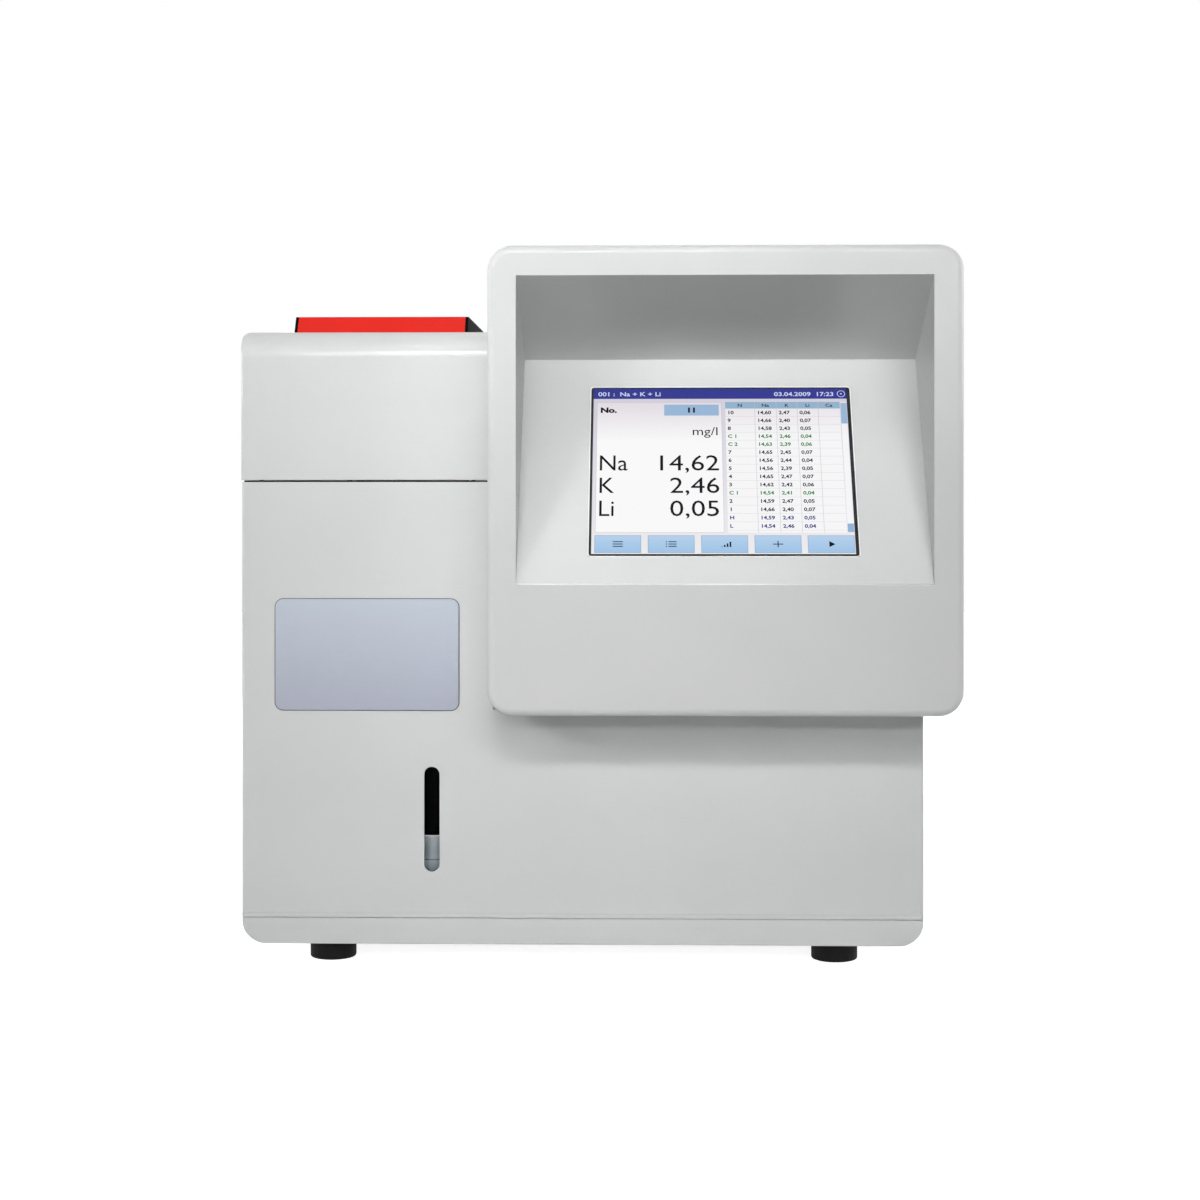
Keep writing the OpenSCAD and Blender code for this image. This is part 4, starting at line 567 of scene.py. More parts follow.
NODE_FINISHES: dict[str, Finish] = {node: finish for finish, nodes in (
    (SHELL, "main_housing base_tray cover_shell head_bezel head_shell"),
    (SHELL_DARK, "rear_panel bulkhead display_bracket deck_rails"),
    (RUBBER, "foot_front_left foot_front_right foot_rear_left foot_rear_right cover_bumpers head_seat"),
    (STEEL, "foot_screws panel_screws head_screws data_sockets fan_guard"),
    (PLATE, "name_plate"), (WINDOW, "sight_window"), (SIPHON_GLASS, "siphon_vessel"),
    # The bracket behind the sight slot takes the painted shade finish, so that the slot reads dark.
    (GLASSWARE, "flame_tube"), (SHADE_BLACK, "siphon_bracket"), (ROCKER, "power_rocker"),
    (BLACK_PLASTIC, "sample_port drain_outlet power_inlet fuse_drawer fan_frame fan_rotor display_surround"),
    (STAINLESS, "flame_deck nebuliser burner_stem flame_tube_seat air_inlet heat_shield hinge_pins"),
    (HINGE_STEEL, "hinge_base_leaves hinge_cover_leaves"), (WHITE_PLASTIC, "mixing_chamber"),
    (BRASS, "burner_head gas_inlet gas_valve"), (CERAMIC, "igniter"), (FILTERS, "optical_filters"),
    (BLACK_METAL, "optics_block lens_barrels"), (BOARD, "detector_board main_board controller_board"),
    (TUBE_RED, "gas_tube"), (TUBE_BLUE, "air_tube"), (TUBE_CLEAR, "drain_tubes"),
    (SUPPLY, "power_supply display_module"), (SCREEN_BACK, "touch_glass"),
    (CHIMNEY_RED, "chimney_hood"), (CHIMNEY_BLACK, "chimney_cheeks"),
) for node in nodes.split()}


class PaintShop:
    """Builds each finish once, and dresses the frame's nodes in theirs."""

    def __init__(self) -> None:
        """Starts with no material made."""
        self._made: dict[str, Material] = {}

    def material(self, finish: Finish) -> Material:
        """Gives the material of a finish, made at its first use.

        Args:
            finish: The finish.

        Returns:
            Its material.
        """
        if finish.name not in self._made:
            self._made[finish.name] = finish.build()
        return self._made[finish.name]

    def dress(self, nodes: dict[str, Object]) -> None:
        """Gives every node of the frame its finish.

        Args:
            nodes: The frame's node objects by name.
        """
        for name, piece in nodes.items():
            material = self.material(NODE_FINISHES[name])
            if not piece.material_slots:
                piece.data.materials.append(material)
            for place in piece.material_slots:
                place.material = material


# --- Making pieces -------------------------------------------------------------------------


def meshed(name: str, work: BMesh) -> Mesh:
    """Turns a work mesh into a mesh.

    Args:
        name: The mesh's name.
        work: The work mesh, which is freed here.

    Returns:
        The mesh.
    """
    mesh = bpy.data.meshes.new(name)
    work.to_mesh(mesh)
    work.free()
    return mesh


def linked(name: str, data: ID) -> Object:
    """Makes an object and puts it into the scene.

    Args:
        name: The object's name.
        data: What it shows: a mesh, a curve, a lamp or a camera.

    Returns:
        The object.
    """
    made = bpy.data.objects.new(name, data)
    bpy.context.scene.collection.objects.link(made)
    return made


@dataclass
class Workshop:
    """Turns finished meshes into pieces that ride on a body and replace what they stand for."""

    nodes: dict[str, Object]
    paint: PaintShop
    edge_steps: int = 2
    sharp_angle: float = math.radians(32)

    def piece(self, name: str, work: BMesh, finish: Finish, body: Body = Body.HOUSING,
              replaces: Sequence[str] = ()) -> Object:
        """Makes a piece of the object from a mesh that is already in its place.

        Args:
            name: The piece's name.
            work: The mesh, which is freed here.
            finish: The piece's finish.
            body: The body that it rides on.
            replaces: The nodes that it stands for.

        Returns:
            The new object.
        """
        made = linked(name, meshed(name, work))
        made.data.materials.append(self.paint.material(finish))
        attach(made, body.value)
        if replaces:
            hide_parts(*replaces)
        LOG.info("%s: %d faces on %s", name, len(made.data.polygons), body.value)
        return made

    def merged(self, node: str) -> BMesh:
        """Copies a node's loose triangles, joins their corners and dissolves the flat seams.

        Args:
            node: The node's name.

        Returns:
            The joined mesh.
        """
        work = bmesh.new()
        work.from_mesh(self.nodes[node].data)
        bmesh.ops.remove_doubles(work, verts=work.verts, dist=0.002 * MM)
        bmesh.ops.dissolve_limit(work, angle_limit=math.radians(0.6), verts=work.verts,
                                 edges=work.edges, use_dissolve_boundaries=False)
        return work

    def softened(self, node: str, name: str, finish: Finish, body: Body, width: float) -> None:
        """Makes a copy of a node whose sharp edges are broken, as on the moulded or painted piece.

        Args:
            node: The node that the copy stands for.
            name: The new piece's name.
            finish: Its finish.
            body: The body that it rides on.
            width: The width of the broken edge.
        """
        made = self.piece(name, self.merged(node), finish, body, (node,))
        made.data.polygons.foreach_set("use_smooth", [True] * len(made.data.polygons))
        made.data.set_sharp_from_angle(angle=self.sharp_angle)
        bevel = made.modifiers.new("broken_edges", "BEVEL")
        bevel.width = width
        bevel.segments = self.edge_steps
        bevel.limit_method = "ANGLE"
        bevel.angle_limit = self.sharp_angle
        bevel.use_clamp_overlap = True
        evened = made.modifiers.new("even_shading", "WEIGHTED_NORMAL")
        evened.keep_sharp = True


def band(work: BMesh, first: Sequence[BMVert], second: Sequence[BMVert]) -> None:
    """Joins two rows of as many vertices with a strip of faces."""
    for a, b, c, d in zip(first, first[1:], second[1:], second):
        work.faces.new((a, b, c, d))


def block(work: BMesh, low: Sequence[float], high: Sequence[float]) -> None:
    """Adds a block between two corners.

    Args:
        work: The mesh that it joins.
        low: Its lowest corner.
        high: Its highest corner.
    """
    middle = [(a + b) / 2 for a, b in zip(low, high)]
    size = [b - a for a, b in zip(low, high)]
    made = bmesh.ops.create_cube(work, size=1.0)["verts"]
    bmesh.ops.scale(work, vec=size, verts=made)
    bmesh.ops.translate(work, vec=middle, verts=made)


# --- The display ---------------------------------------------------------------------------

INK_SHADES: dict[str, tuple[tuple[int, int, int], tuple[int, int, int]]] = {
    "backdrop": ((243, 242, 244), (214, 210, 224)), "title": ((62, 66, 158), (56, 62, 146)),
    "panel": ((255, 255, 255), (222, 212, 224)), "key": ((162, 200, 236), (186, 214, 242)),
    "key_edge": ((140, 166, 196), (150, 176, 206)), "field": ((150, 182, 216), (158, 188, 220)),
    "head": ((160, 192, 216), (150, 182, 208)), "row": ((252, 252, 253), (232, 226, 234)),
    "line": ((206, 206, 216), (196, 192, 206)), "black": ((20, 20, 26), (24, 22, 30)),
    "grey": ((40, 40, 52), (48, 46, 60)), "green": ((40, 140, 62), (46, 130, 64)),
    "violet": ((44, 44, 132), (50, 48, 132)), "pale": ((214, 220, 250), (206, 212, 246)),
}
Line = tuple[str, float, float, float, Align]


@dataclass
class DisplayPicture:
    """What the lit screen shows: figures, a table and five keys, in layers on the glass.

    The sizes are in millimetres, from the lower left corner of the dark surround. Along the
    panel, x runs to the right, y up the slope and z out of it.
    """

    shop: Workshop
    lip: float = 0.42
    frame_left: float = 1.5
    frame_low: float = 1.45
    frame_right: float = 2.1
    frame_top: float = 0.95
    rim_corner: float = 1.6
    rim_width: float = 0.55
    width: float = 159.6
    height: float = 122.0
    title_y: float = 113.4
    key_low: float = 2.2
    key_high: float = 14.3
    key_starts: tuple[float, ...] = (3.4, 35.0, 66.6, 98.1, 129.5)
    key_width: float = 27.6
    figures_box: Box2D = (3.6, 16.2, 80.4, 110.8)
    table_box: Box2D = (82.6, 16.2, 153.0, 111.0)
    table_columns: tuple[float, ...] = (100.6, 113.9, 126.7, 139.6)
    table_head: float = 106.0
    table_rows: int = 15
    scroll_gap: float = 0.5
    scroll_width: float = 3.7
    layer: float = 0.03

    def __post_init__(self) -> None:
        """Finds the glass's place and slope, and makes the inks that fade along it."""
        self.place = self._glass_place()
        low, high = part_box("touch_glass")
        rise = high.z - low.z
        spans = {"panel": (low.z + 0.68 * rise, high.z), "row": (low.z + 0.7 * rise, high.z),
                 "key": (self.at(0, self.key_low).z, self.at(0, self.key_high).z)}
        self.inks = {name: LitInk(f"screen_{name}", "screen_glass", tint(*foot), tint(*top),
                                  *spans.get(name, (low.z, high.z)))
                     for name, (foot, top) in INK_SHADES.items()}

    def _glass_place(self) -> Matrix:
        """Works out the plane of the touch glass.

        Returns:
            The matrix from the panel's millimetres to the frame.
        """
        glass = self.shop.nodes["touch_glass"].data
        face = max((p for p in glass.polygons if p.normal.y < 0), key=lambda p: p.area)
        out = face.normal.normalized()
        along = Vector((0.0, out.z, -out.y))
        right = Vector((1.0, 0.0, 0.0))
        corners = [glass.vertices[i].co for p in glass.polygons
                   if p.normal.dot(out) > 0.999 for i in p.vertices]
        left = min(c.x for c in corners)
        foot = min(corners, key=lambda c: c.dot(along))
        gap = (self.width * MM - (max(c.x for c in corners) - left)) / 2
        origin = Vector((left - gap, foot.y, foot.z)) - along * gap + out * (self.lip * MM)
        turn = Matrix((right, along, out)).transposed().to_4x4()
        return Matrix.Translation(origin) @ turn @ Matrix.Scale(MM, 4)

    def at(self, x: float, y: float, z: float = 0.0) -> Vector:
        """Gives the frame's place of a point on the panel."""
        return self.place @ Vector((x, y, z))

    def _plates(self, name: str, ink: str, level: int, boxes: Sequence[Box2D]) -> None:
        """Makes one layer of flat rectangles.

        Args:
            name: The piece's name.
            ink: The name of its ink.
            level: The layer that it lies in, counted from the glass.
            boxes: Each rectangle's left, lower, right and upper sides.
        """
        work = bmesh.new()
        for x0, y0, x1, y1 in boxes:
            block(work, (x0, y0, level * self.layer), (x1, y1, (level + 0.6) * self.layer))
        self._lay(name, self.inks[ink], work)

    def _lay(self, name: str, finish: Finish, work: BMesh) -> None:
        """Moves a mesh from the panel's millimetres to the frame and makes it a piece."""
        bmesh.ops.transform(work, matrix=self.place, verts=work.verts)
        self.shop.piece(name, work, finish)

    def _figures(self, name: str, ink: str, level: int, lines: Sequence[Line], stretch: float,
                 weight: float = 0.0) -> None:
        """Makes one piece of figures.

        Args:
            name: The piece's name.
            ink: The name of its ink.
            level: The layer that it lies in, counted from the glass.
            lines: Each line's figures, its x and its base line, its size, and its side.
            stretch: How wide the figures are, where 1 is plain.
            weight: How much each stroke is thickened, as a share of the size.
        """
        work = bmesh.new()
        for text, x, y, size, align in lines:
            curve = bpy.data.curves.new(name + "_line", "FONT")
            curve.body = text
            curve.size = size
            curve.align_x = align.value
            curve.offset = weight * size
            curve.extrude = 0.25 * self.layer
            curve.resolution_u = 3
            writing = linked(name + "_line", curve)
            graph = bpy.context.evaluated_depsgraph_get()
            mesh = bpy.data.meshes.new_from_object(writing.evaluated_get(graph))
            mesh.transform(Matrix.Translation((x, y, (level + 0.3) * self.layer))
                           @ Matrix.Diagonal((stretch, 1.0, 1.0, 1.0)))
            work.from_mesh(mesh)
            bpy.data.objects.remove(writing)
            bpy.data.curves.remove(curve)
            bpy.data.meshes.remove(mesh)
        self._lay(name, self.inks[ink], work)

    def build(self) -> None:
        """Makes every layer of the picture, and the rim round it in a paler paint that is a painted highlight."""
        self._rim()
        self._ground()
        self._title()
        self._reading()
        self._table()
        self._keys()

    def _rounded(self, out: float, corner: float) -> list[tuple[float, float]]:
        """Gives the outline of the surround.

        Args:
            out: How far it is grown.
            corner: The radius of its corners.

        Returns:
            Its points, counterclockwise from the upper right.
        """
        turns = 6
        places = []
        near, far, top = corner - out, self.width + out - corner, self.height + out - corner
        for i, (x, y) in enumerate(((far, top), (near, top), (near, near), (far, near))):
            for step in range(turns + 1):
                angle = math.radians(90) * (i + step / turns)
                places.append((x + corner * math.cos(angle), y + corner * math.sin(angle)))
        return places

    def _rim(self) -> None:
        """The narrow lip of the moulding round the dark surround, with its rounded corners, painted paler than the
        shell as a highlight along its edge.
        """
        work = bmesh.new()
        inner = self._rounded(0.0, self.rim_corner)
        outer = self._rounded(self.rim_width, self.rim_corner + self.rim_width)
        levels = (-self.lip, 0.14)
        loops = [[work.verts.new((x, y, z)) for x, y in ring]
                 for ring, z in ((outer, levels[0]), (outer, levels[1]), (inner, levels[1]), (inner, levels[0]))]
        for first, second in zip(loops, loops[1:] + loops[:1]):
            band(work, first + first[:1], second + second[:1])
        bmesh.ops.recalc_face_normals(work, faces=work.faces)
        self._lay("display_rim", PAINTED_HIGHLIGHT, work)

    def _ground(self) -> None:
        """The pale backdrop inside the surround."""
        self._plates("screen_backdrop", "backdrop", 0,
                     [(self.frame_left, self.frame_low, self.width - self.frame_right, self.title_y)])

    def _title(self) -> None:
        """The blue bar with two groups of figures and a ringed dot."""
        self._plates("screen_title_bar", "title", 0, [
            (self.frame_left, self.title_y, self.width - self.frame_right, self.height - self.frame_top)])
        self._figures("screen_title_figures", "pale", 1, [
            ("001 :  Na + K + Li", 4.2, 115.5, 4.3, Align.LEFT),
            ("03.04.2009  17:23", 149.8, 115.5, 4.2, Align.RIGHT),
        ], 1.22, 0.02)
        ring = bmesh.new()
        centre = Vector((154.2, 117.1, 0))
        for radius, hole in ((2.5, 2.1), (0.55, 0.0)):
            self._ring(ring, centre, radius, hole)
        self._lay("screen_title_ring", self.inks["pale"], ring)

    def _ring(self, work: BMesh, centre: Vector, radius: float, hole: float) -> None:
        """Adds a flat ring, or a disc where the hole is 0.

        Args:
            work: The mesh that it joins, in the panel's millimetres.
            centre: Its middle.
            radius: Its outer radius.
            hole: Its inner radius.
        """
        level = Vector((0, 0, 1.2 * self.layer))
        steps = 28
        if hole:
            first = work.verts.new(centre + level + Vector((hole, 0, 0)))
            second = work.verts.new(centre + level + Vector((radius, 0, 0)))
            edge = work.edges.new((first, second))
            bmesh.ops.spin(work, geom=[first, second, edge], cent=centre + level, axis=(0, 0, 1),
                           dvec=(0, 0, 0), angle=math.tau, steps=steps, use_merge=True)
        else:
            made = bmesh.ops.create_circle(work, cap_ends=True, segments=steps // 2, radius=radius)["verts"]
            bmesh.ops.translate(work, vec=centre + level, verts=made)

    def _reading(self) -> None:
        """The large figures at the left, with the sample's number above them."""
        x0, y0, x1, y1 = self.figures_box
        edge = 0.25
        self._plates("screen_reading_edge", "line", 1, [self.figures_box])
        inner = (x0 + edge, y0 + edge, x1 - edge, y1 - edge)
        self._plates("screen_reading_panel", "panel", 2, [inner])
        self._plates("screen_sample_field", "field", 3, [(45.0, 100.8, 78.6, 109.0)])
        self._figures("screen_sample_figures", "black", 4, [
            ("No.", 5.8, 103.1, 5.2, Align.LEFT),
            ("11", 61.8, 103.2, 4.9, Align.CENTRE),
        ], 1.25, 0.05)
        self._figures("screen_unit_figures", "black", 4, [("mg/l", 78.2, 86.2, 8.6, Align.RIGHT)], 1.12)
        rows = (("Na", "14,62", 60.4), ("K", "2,46", 44.2), ("Li", "0,05", 27.8))
        size = 16.0
        self._figures("screen_reading_labels", "black", 3,
                      [(label, 4.8, base, size, Align.LEFT) for label, _, base in rows], 0.94)
        self._figures("screen_reading_figures", "black", 3,
                      [(value, 78.6, base, size, Align.RIGHT) for _, value, base in rows], 1.12)

    def _table(self) -> None:
        """The table at the right, with its ruled rows, its head and its scroll bar."""
        x0, y0, x1, y1 = self.table_box
        pitch = (self.table_head - y0) / (self.table_rows + 0.3)
        left, right = x1 + self.scroll_gap, x1 + self.scroll_gap + self.scroll_width
        self._plates("screen_table_panel", "row", 1, [self.table_box, (left, y0, right, y1)])
        self._plates("screen_table_head", "head", 2, [(x0, self.table_head, x1, y1)])
        thin = 0.13
        rules = [(x0, self.table_head - (i + 1) * pitch - thin, x1, self.table_head - (i + 1) * pitch)
                 for i in range(self.table_rows)]
        rules += [(x - thin, y0, x + thin, y1) for x in self.table_columns]
        self._plates("screen_table_rules", "line", 3, rules)
        self._plates("screen_scroll_bar", "field", 2, [
            (left, 94.8, right, 110.2), (left, 16.6, right, 22.6)])
        starts, ends = (x0,) + self.table_columns, self.table_columns + (x1,)
        heads = [(head, (a + b) / 2, self.table_head + 1.3, 3.2, Align.CENTRE)
                 for head, a, b in zip(("N", "Na", "K", "Li", "Ca"), starts, ends)]
        self._figures("screen_table_head_figures", "grey", 4, heads, 1.2, 0.02)
        self._table_figures(pitch)

    def _table_figures(self, pitch: float) -> None:
        """Fills the table's rows with a slowly changing series of readings.

        Args:
            pitch: The height of a row, in millimetres.
        """
        inks: dict[str, list[Line]] = {"grey": [], "green": [], "violet": []}
        names = ("10", "9", "8", "C 1", "C 2", "7", "6", "5", "4", "3", "C 1", "2", "1", "H", "L")
        green_rows = (3, 4, 10)
        size = 3.5
        for i in range(self.table_rows):
            ink = "green" if i in green_rows else "violet" if i >= self.table_rows - 2 else "grey"
            base = self.table_head - (i + 0.5) * pitch - 0.36 * size
            wave = math.sin(1.7 * i)
            readings = (14.6 + 0.06 * wave, 2.43 + 0.04 * math.cos(2.3 * i), 0.055 + 0.015 * wave)
            values = [f"{reading:.2f}".replace(".", ",") for reading in readings]
            inks[ink].append((names[i], self.table_box[0] + 1.2, base, size, Align.LEFT))
            for x, value in zip(self.table_columns, values):
                inks[ink].append((value, x + 1.4, base, size, Align.LEFT))
        for ink, lines in inks.items():
            self._figures(f"screen_table_{ink}_figures", ink, 4, lines, 1.12, 0.03)

    def _keys(self) -> None:
        """The five keys along the lower edge, each with a plain sign."""
        edge = 0.3
        spans = [(x, x + self.key_width) for x in self.key_starts]
        self._plates("screen_key_edges", "key_edge", 1,
                     [(a, self.key_low, b, self.key_high) for a, b in spans])
        self._plates("screen_keys", "key", 2, [(a + edge, self.key_low + edge, b - edge, self.key_high - edge)
                                                for a, b in spans])
        middle = (self.key_low + self.key_high) / 2
        centres = [(a + b) / 2 for a, b in spans]
        stroke = 0.3

        def bar(key: int, x: float, y: float, wide: float, high: float) -> Box2D:
            """Gives a rectangle by its middle on a key and its half sizes."""
            return (centres[key] + x - wide, middle + y - high, centres[key] + x + wide, middle + y + high)

        signs = []
        for y in (-1.6, 0.0, 1.6):
            signs += [bar(0, 0, y, 3, stroke), bar(1, -2.8, y, 0.4, stroke), bar(1, 0.8, y, 2.4, stroke)]
        signs += [bar(2, 1.7 * i, 0.55 * i - 1.3, 0.5, 0.55 * i + 0.7) for i in (-1, 0, 1, 2)]
        signs += [bar(3, 0, 0, 3, stroke), bar(3, 0, 0, stroke, 2.2)]
        self._plates("screen_key_signs", "black", 3, signs)
        arrow = bmesh.new()
        made = bmesh.ops.create_circle(arrow, cap_ends=True, segments=3, radius=2.4)["verts"]
        bmesh.ops.rotate(arrow, verts=made, cent=(0, 0, 0), matrix=Matrix.Rotation(math.radians(30), 3, "Z"))
        bmesh.ops.translate(arrow, vec=(centres[4], middle, 3.3 * self.layer), verts=made)
        self._lay("screen_key_arrow", self.inks["black"], arrow)


# --- Shells and front trim -----------------------------------------------------------------


@dataclass
class Casework:
    """The shells of the body, the cover and the head, with their edges broken as the real ones are."""

    shop: Workshop
    broken_edge: float = 0.5 * MM

    def build(self) -> None:
        """Makes the pieces of the casework."""
        shells = (("main_housing", "housing_casing", Body.HOUSING), ("base_tray", "tray_casing", Body.HOUSING),
                  ("cover_shell", "cover_casing", Body.COVER), ("head_bezel", "head_moulding", Body.HOUSING),
                  ("head_shell", "head_back_casing", Body.HOUSING))
        for node, name, body in shells:
            self.shop.softened(node, name, SHELL, body, self.broken_edge)


@dataclass
class FrontTrim:
    """The name plate with a dark sheet behind it as painted shade round its edge, a near-black strip as painted shade
    in the gap under the cover, the recess's lip in a paler paint as a painted highlight, and the liquid behind the
    slot.
    """

    shop: Workshop
    liquid_level: float = 79.9 * MM
    glass_wall: float = 1.5 * MM
    meniscus: float = 0.55 * MM
    plate_corner: float = 5.0 * MM
    pad_out: float = 0.45 * MM
    edge_shadow_thickness: float = 0.35 * MM
    gasket_inset: float = 1.9 * MM
    gasket_width: float = 2.0 * MM
    gasket_gap: float = 0.25 * MM
    gasket_ends: tuple[float, float] = (3 * MM, 12 * MM)
    lip_radius: float = 0.55 * MM
    lip_rise: float = 0.3 * MM
    lip_z: tuple[float, float] = (236 * MM, 240 * MM)
    clearance: float = 0.05 * MM

    def build(self) -> None:
        """Makes the pieces of the front trim."""
        self.shop.softened("name_plate", "plate_bare", PLATE, Body.HOUSING, 0.25 * MM)
        self._gasket()
        self._lip_bead()
        self._plate_pad()
        self._liquid()

    def _gasket(self) -> None:
        """A near-black strip in the gap under the cover, along its front and its left side: painted shade, which
        keeps the gap dark where light would pass through it.
        """
        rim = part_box("main_housing")[1].z + self.clearance
        low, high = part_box("cover_shell")
        top = low.z - self.gasket_gap
        side, face = low.x + self.gasket_inset, low.y + self.gasket_inset
        work = bmesh.new()
        turn = side + self.gasket_width
        block(work, (side, face, rim), (turn, high.y - self.gasket_ends[1], top))
        block(work, (turn, face, rim), (high.x - self.gasket_ends[0], face + self.gasket_width, top))
        bmesh.ops.remove_doubles(work, verts=work.verts, dist=0.01 * MM)
        self.shop.piece("cover_gasket", work, SHADE_BLACK)

    def _lip_bead(self) -> None:
        """The narrow rounded lip between the recess's sloping floor and the head's front, painted paler than the
        shell as a highlight along the edge.
        """
        front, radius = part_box("head_bezel")[0].y, self.lip_radius
        bezel = self.shop.nodes["head_bezel"].data
        edge = [v.co for v in bezel.vertices
                if v.co.y < front + 0.1 * MM and self.lip_z[0] < v.co.z < self.lip_z[1]]
        left, right = min(v.x for v in edge), max(v.x for v in edge)
        height = sum(v.z for v in edge) / len(edge)
        work = bmesh.new()
        bmesh.ops.create_cone(work, cap_ends=True, segments=16, radius1=radius, radius2=radius, depth=right - left,
                              matrix=Matrix.Rotation(math.radians(90), 4, "Y"))
        bmesh.ops.translate(work, vec=((left + right) / 2, front + radius, height + self.lip_rise), verts=work.verts)
        for face in work.faces:
            face.smooth = len(face.verts) == 4
        self.shop.piece("recess_lip", work, PAINTED_HIGHLIGHT)

    def _plate_pad(self) -> None:
        """A dark sheet behind the plate, a little larger than it, that shows as a thin line round it: painted shade
        along the plate's edge.
        """
        low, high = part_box("name_plate")
        out = self.pad_out
        work = bmesh.new()
        block(work, (low.x - out, high.y - self.edge_shadow_thickness, low.z - out),
              (high.x + out, high.y - 0.02 * MM, high.z + out))
        upright = [edge for edge in work.edges if abs((edge.verts[0].co - edge.verts[1].co).y) > 0.05 * MM]
        bmesh.ops.bevel(work, geom=upright, offset=self.plate_corner + out, offset_type="OFFSET",
                        segments=10, profile=0.5, affect="EDGES", material=-1)
        self.shop.piece("plate_pad", work, PLATE_EDGE_SHADOW)

    def _liquid(self) -> None:
        """The waste water that stands in the siphon's glass, with its curved rim."""
        low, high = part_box("siphon_vessel")
        centre_x = (low.x + high.x) / 2
        radius = (high.x - low.x) / 2 - self.glass_wall - self.clearance
        centre_y = low.y + (high.x - low.x) / 2
        floor = low.z + self.glass_wall + self.clearance
        work = bmesh.new()
        bmesh.ops.create_cone(work, cap_ends=True, segments=48, radius1=radius, radius2=radius,
                              depth=self.liquid_level - floor)
        bmesh.ops.translate(work, vec=(centre_x, centre_y, (self.liquid_level + floor) / 2), verts=work.verts)
        # The tones hold painted light: the lighter band just under the dark line is a painted highlight, and the
        # near-black top is painted shade.
        finish = StandingLiquid("siphon_liquid", "glassware", self.liquid_level - 20 * MM, self.liquid_level, (
            (0.0, tint(170, 182, 188)), (0.225, tint(186, 198, 204)), (0.24, tint(118, 130, 138)),
            (0.26, tint(118, 130, 138)), (0.275, tint(176, 186, 192)), (0.5, tint(168, 174, 178)),
            (0.993, tint(184, 188, 190)), (0.996, tint(10, 10, 12)), (1.0, tint(10, 10, 12))))
        self.shop.piece("siphon_liquid", work, finish)
        self._meniscus(Vector((centre_x, centre_y, self.liquid_level)), radius + 0.02 * MM)

    def _meniscus(self, centre: Vector, radius: float) -> None:
        """A thin line that glows where the liquid's rim climbs the front of the glass: a painted highlight, standing
        in for the light that the glass bends there.

        Args:
            centre: The middle of the liquid's surface.
            radius: The radius of the line.
        """
        steps = 24
        work = bmesh.new()
        turns = [math.radians(200 + 140 * i / steps) for i in range(steps + 1)]
        rows = [[work.verts.new(centre + Vector((r * math.cos(t), r * math.sin(t), z))) for t in turns]
                for r, z in ((radius, -self.meniscus), (radius, 0.0), (radius - 0.3 * MM, -0.5 * self.meniscus))]
        for first, second in zip(rows, rows[1:] + rows[:1]):
            band(work, first, second)
        for end in (0, steps):
            work.faces.new([row[end] for row in rows])
        bmesh.ops.recalc_face_normals(work, faces=work.faces)
        self.shop.piece("siphon_meniscus", work, MENISCUS_GLOW)


# --- Stage ---------------------------------------------------------------------------------


@dataclass(frozen=True)
class SoftBox:
    """One large, soft lamp that looks at a point."""

    name: str
    place: tuple[float, float, float]
    aim: tuple[float, float, float]
    width: float
    height: float
    power: float
    spread: float = 180.0

    def build(self) -> None:
        """Hangs the lamp."""
        lamp = bpy.data.lights.new(self.name, "AREA")
        lamp.shape = "RECTANGLE"
        lamp.size = self.width
        lamp.size_y = self.height
        lamp.energy = self.power
        lamp.spread = math.radians(self.spread)
        hung = linked(self.name, lamp)
        hung.location = self.place
        hung.rotation_euler = (Vector(self.aim) - Vector(self.place)).to_track_quat("-Z", "Y").to_euler()


class StageTree(NodeKit):
    """The emptied node tree of the world or of the floor's material."""

    def __init__(self, owner: World | Material) -> None:
        """Switches the owner's nodes on and clears them.

        Args:
            owner: The world or the material.
        """
        owner.use_nodes = True
        self.tree = owner.node_tree
        self.tree.nodes.clear()

    def seen_directly(self) -> NodeSocket:
        """Tells the camera's own rays, also reflected or let through on their way, from the others.

        Returns:
            A socket of 1 for those rays and 0 for the others.
        """
        path = self.add("ShaderNodeLightPath").outputs
        mirrored = self.math("MAXIMUM", path["Is Camera Ray"], path["Is Glossy Ray"])
        return self.math("MAXIMUM", mirrored, path["Is Transmission Ray"])


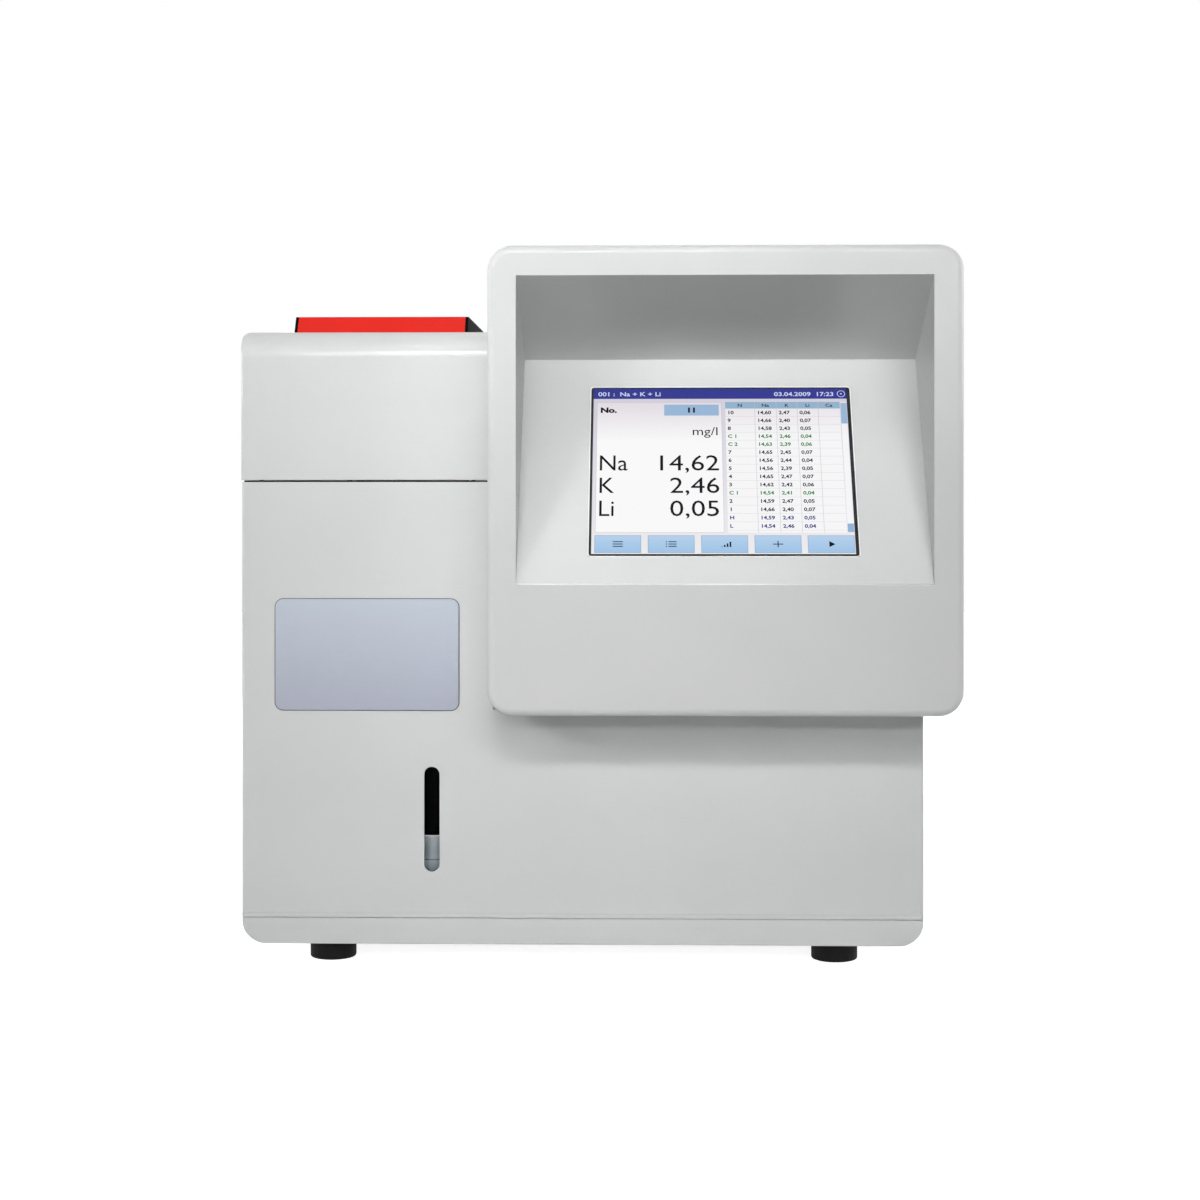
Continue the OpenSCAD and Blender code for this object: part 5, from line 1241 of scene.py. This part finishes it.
@dataclass(frozen=True)
class Studio:
    """A plain pale floor, soft lamps and a background that looks white."""

    floor_side: float = 8.0
    floor_colour: Colour = (0.86, 0.86, 0.86, 1.0)
    floor_lift: float = 0.86
    lift_rise: tuple[float, float] = (0.45, 1.1)
    ambient: float = 0.03
    backdrop_edge: tuple[float, float] = (-0.1, 0.35)
    lamps: tuple[SoftBox, ...] = (
        SoftBox("cover_softbox", (-0.27, -1.28, 0.86), (-0.14, -0.15, 0.39), 0.56, 0.085, 0.205, 36.0),
        SoftBox("head_softbox", (0.2, -1.28, 0.86), (0.11, -0.19, 0.41), 0.7, 0.1, 0.43, 36.0),
        SoftBox("low_softbox", (0.05, -1.33, 0.42), (0.0, -0.13, 0.02), 0.9, 0.06, 0.205, 25.0),
        SoftBox("left_softbox", (-0.8, -1.15, 0.7), (-0.1, -0.15, 0.36), 0.3, 0.3, 0.46, 50.0),
        SoftBox("right_softbox", (0.5, -1.28, 0.62), (0.02, -0.15, 0.3), 0.2, 0.3, 0.16, 50.0),
        SoftBox("top_strip", (0.0, -0.75, 1.35), (0.0, -0.16, 0.42), 1.0, 0.12, 0.085, 24.0),
        SoftBox("left_side_softbox", (-1.5, 0.12, 0.7), (-0.2, 0.02, 0.25), 0.9, 0.6, 7.0),
        SoftBox("right_side_softbox", (1.5, 0.12, 0.7), (0.2, 0.02, 0.25), 0.9, 0.6, 7.0),
        SoftBox("rear_softbox", (0.1, 1.6, 0.4), (0.0, 0.15, 0.22), 1.2, 0.6, 10.0),
    )

    def build(self) -> None:
        """Sets the stage."""
        bpy.context.scene.view_settings.view_transform = "Standard"
        self._world()
        self._floor()
        for lamp in self.lamps:
            lamp.build()

    def _world(self) -> None:
        """A world that looks white but lights the object softly."""
        world = bpy.data.worlds.new("studio_world")
        bpy.context.scene.world = world
        tree = StageTree(world)
        seen = tree.add("ShaderNodeBackground", {"Color": WHITE})
        lighting = tree.add("ShaderNodeBackground", {"Color": WHITE, "Strength": self.ambient})
        mixed = tree.add("ShaderNodeMixShader", {0: self._backdrop(tree), 1: lighting.outputs[0], 2: seen.outputs[0]})
        tree.add("ShaderNodeOutputWorld", {"Surface": mixed.outputs[0]})

    def _backdrop(self, tree: StageTree) -> NodeSocket:
        """Tells where the white backdrop is seen, for a mirrored ray only towards the back.

        Args:
            tree: The world's node tree.

        Returns:
            A socket of 1 for those rays and 0 for the others.
        """
        away = tree.add("ShaderNodeSeparateXYZ", {0: tree.place("Generated")}).outputs["Y"]
        mirrored = tree.math("MULTIPLY", tree.ranged(away, 0.0, 1.0, self.backdrop_edge), tree.seen_directly())
        return tree.math("MAXIMUM", mirrored, tree.add("ShaderNodeLightPath").outputs["Is Camera Ray"])

    def _far_share(self, tree: StageTree) -> NodeSocket:
        """Gives the floor's lift, which rises to full white far from the object."""
        away = tree.add("ShaderNodeVectorMath", {0: tree.place()}, operation="LENGTH").outputs["Value"]
        return tree.ranged(away, self.floor_lift, 1.0, self.lift_rise)

    def _floor(self) -> None:
        """The floor, lifted towards white where it is seen, so that only the shadow shows on it."""
        work = bmesh.new()
        bmesh.ops.create_grid(work, x_segments=1, y_segments=1, size=self.floor_side / 2)
        floor = linked("studio_floor", meshed("studio_floor", work))
        material = bpy.data.materials.new("studio_floor")
        tree = StageTree(material)
        strength = tree.math("MULTIPLY", tree.seen_directly(), self._far_share(tree))
        lift = tree.add("ShaderNodeEmission", {"Color": WHITE, "Strength": strength})
        matt = tree.add("ShaderNodeBsdfDiffuse", {"Color": self.floor_colour})
        both = tree.add("ShaderNodeAddShader", {0: matt.outputs[0], 1: lift.outputs[0]})
        tree.add("ShaderNodeOutputMaterial", {"Surface": both.outputs[0]})
        floor.data.materials.append(material)
        floor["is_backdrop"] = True


@dataclass(frozen=True)
class Viewpoint:
    """The camera: level, at the height of the head's middle, and turned a little to the left."""

    lens_mm: float = 63.15
    sensor_mm: float = 36.0
    place: tuple[float, float, float] = (0.0343, -1.421, 0.2869)
    turn_left: float = 1.364
    shift_up: float = -0.0833

    def build(self) -> None:
        """Sets up the camera."""
        camera = bpy.data.cameras.new("viewpoint")
        camera.lens = self.lens_mm
        camera.sensor_width = self.sensor_mm
        camera.shift_y = self.shift_up
        standing = linked("viewpoint", camera)
        standing.location = self.place
        standing.rotation_euler = (math.radians(90), 0, math.radians(self.turn_left))
        bpy.context.scene.camera = standing


def corners() -> list[list[float]]:
    """Gives the shown object's lowest and highest corners as plain lists."""
    return [list(corner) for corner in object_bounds()]


def main() -> None:
    """Loads the frame and builds the finishes, the pieces and the stage round it."""
    logging.basicConfig(level=logging.INFO, format="%(name)s: %(message)s")
    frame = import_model()
    Viewpoint().build()
    Studio().build()
    paint = PaintShop()
    paint.dress(frame["nodes"])
    shop = Workshop(frame["nodes"], paint)
    for assembly in (Casework(shop), FrontTrim(shop), DisplayPicture(shop)):
        assembly.build()


if __name__ == "__main__":
    main()
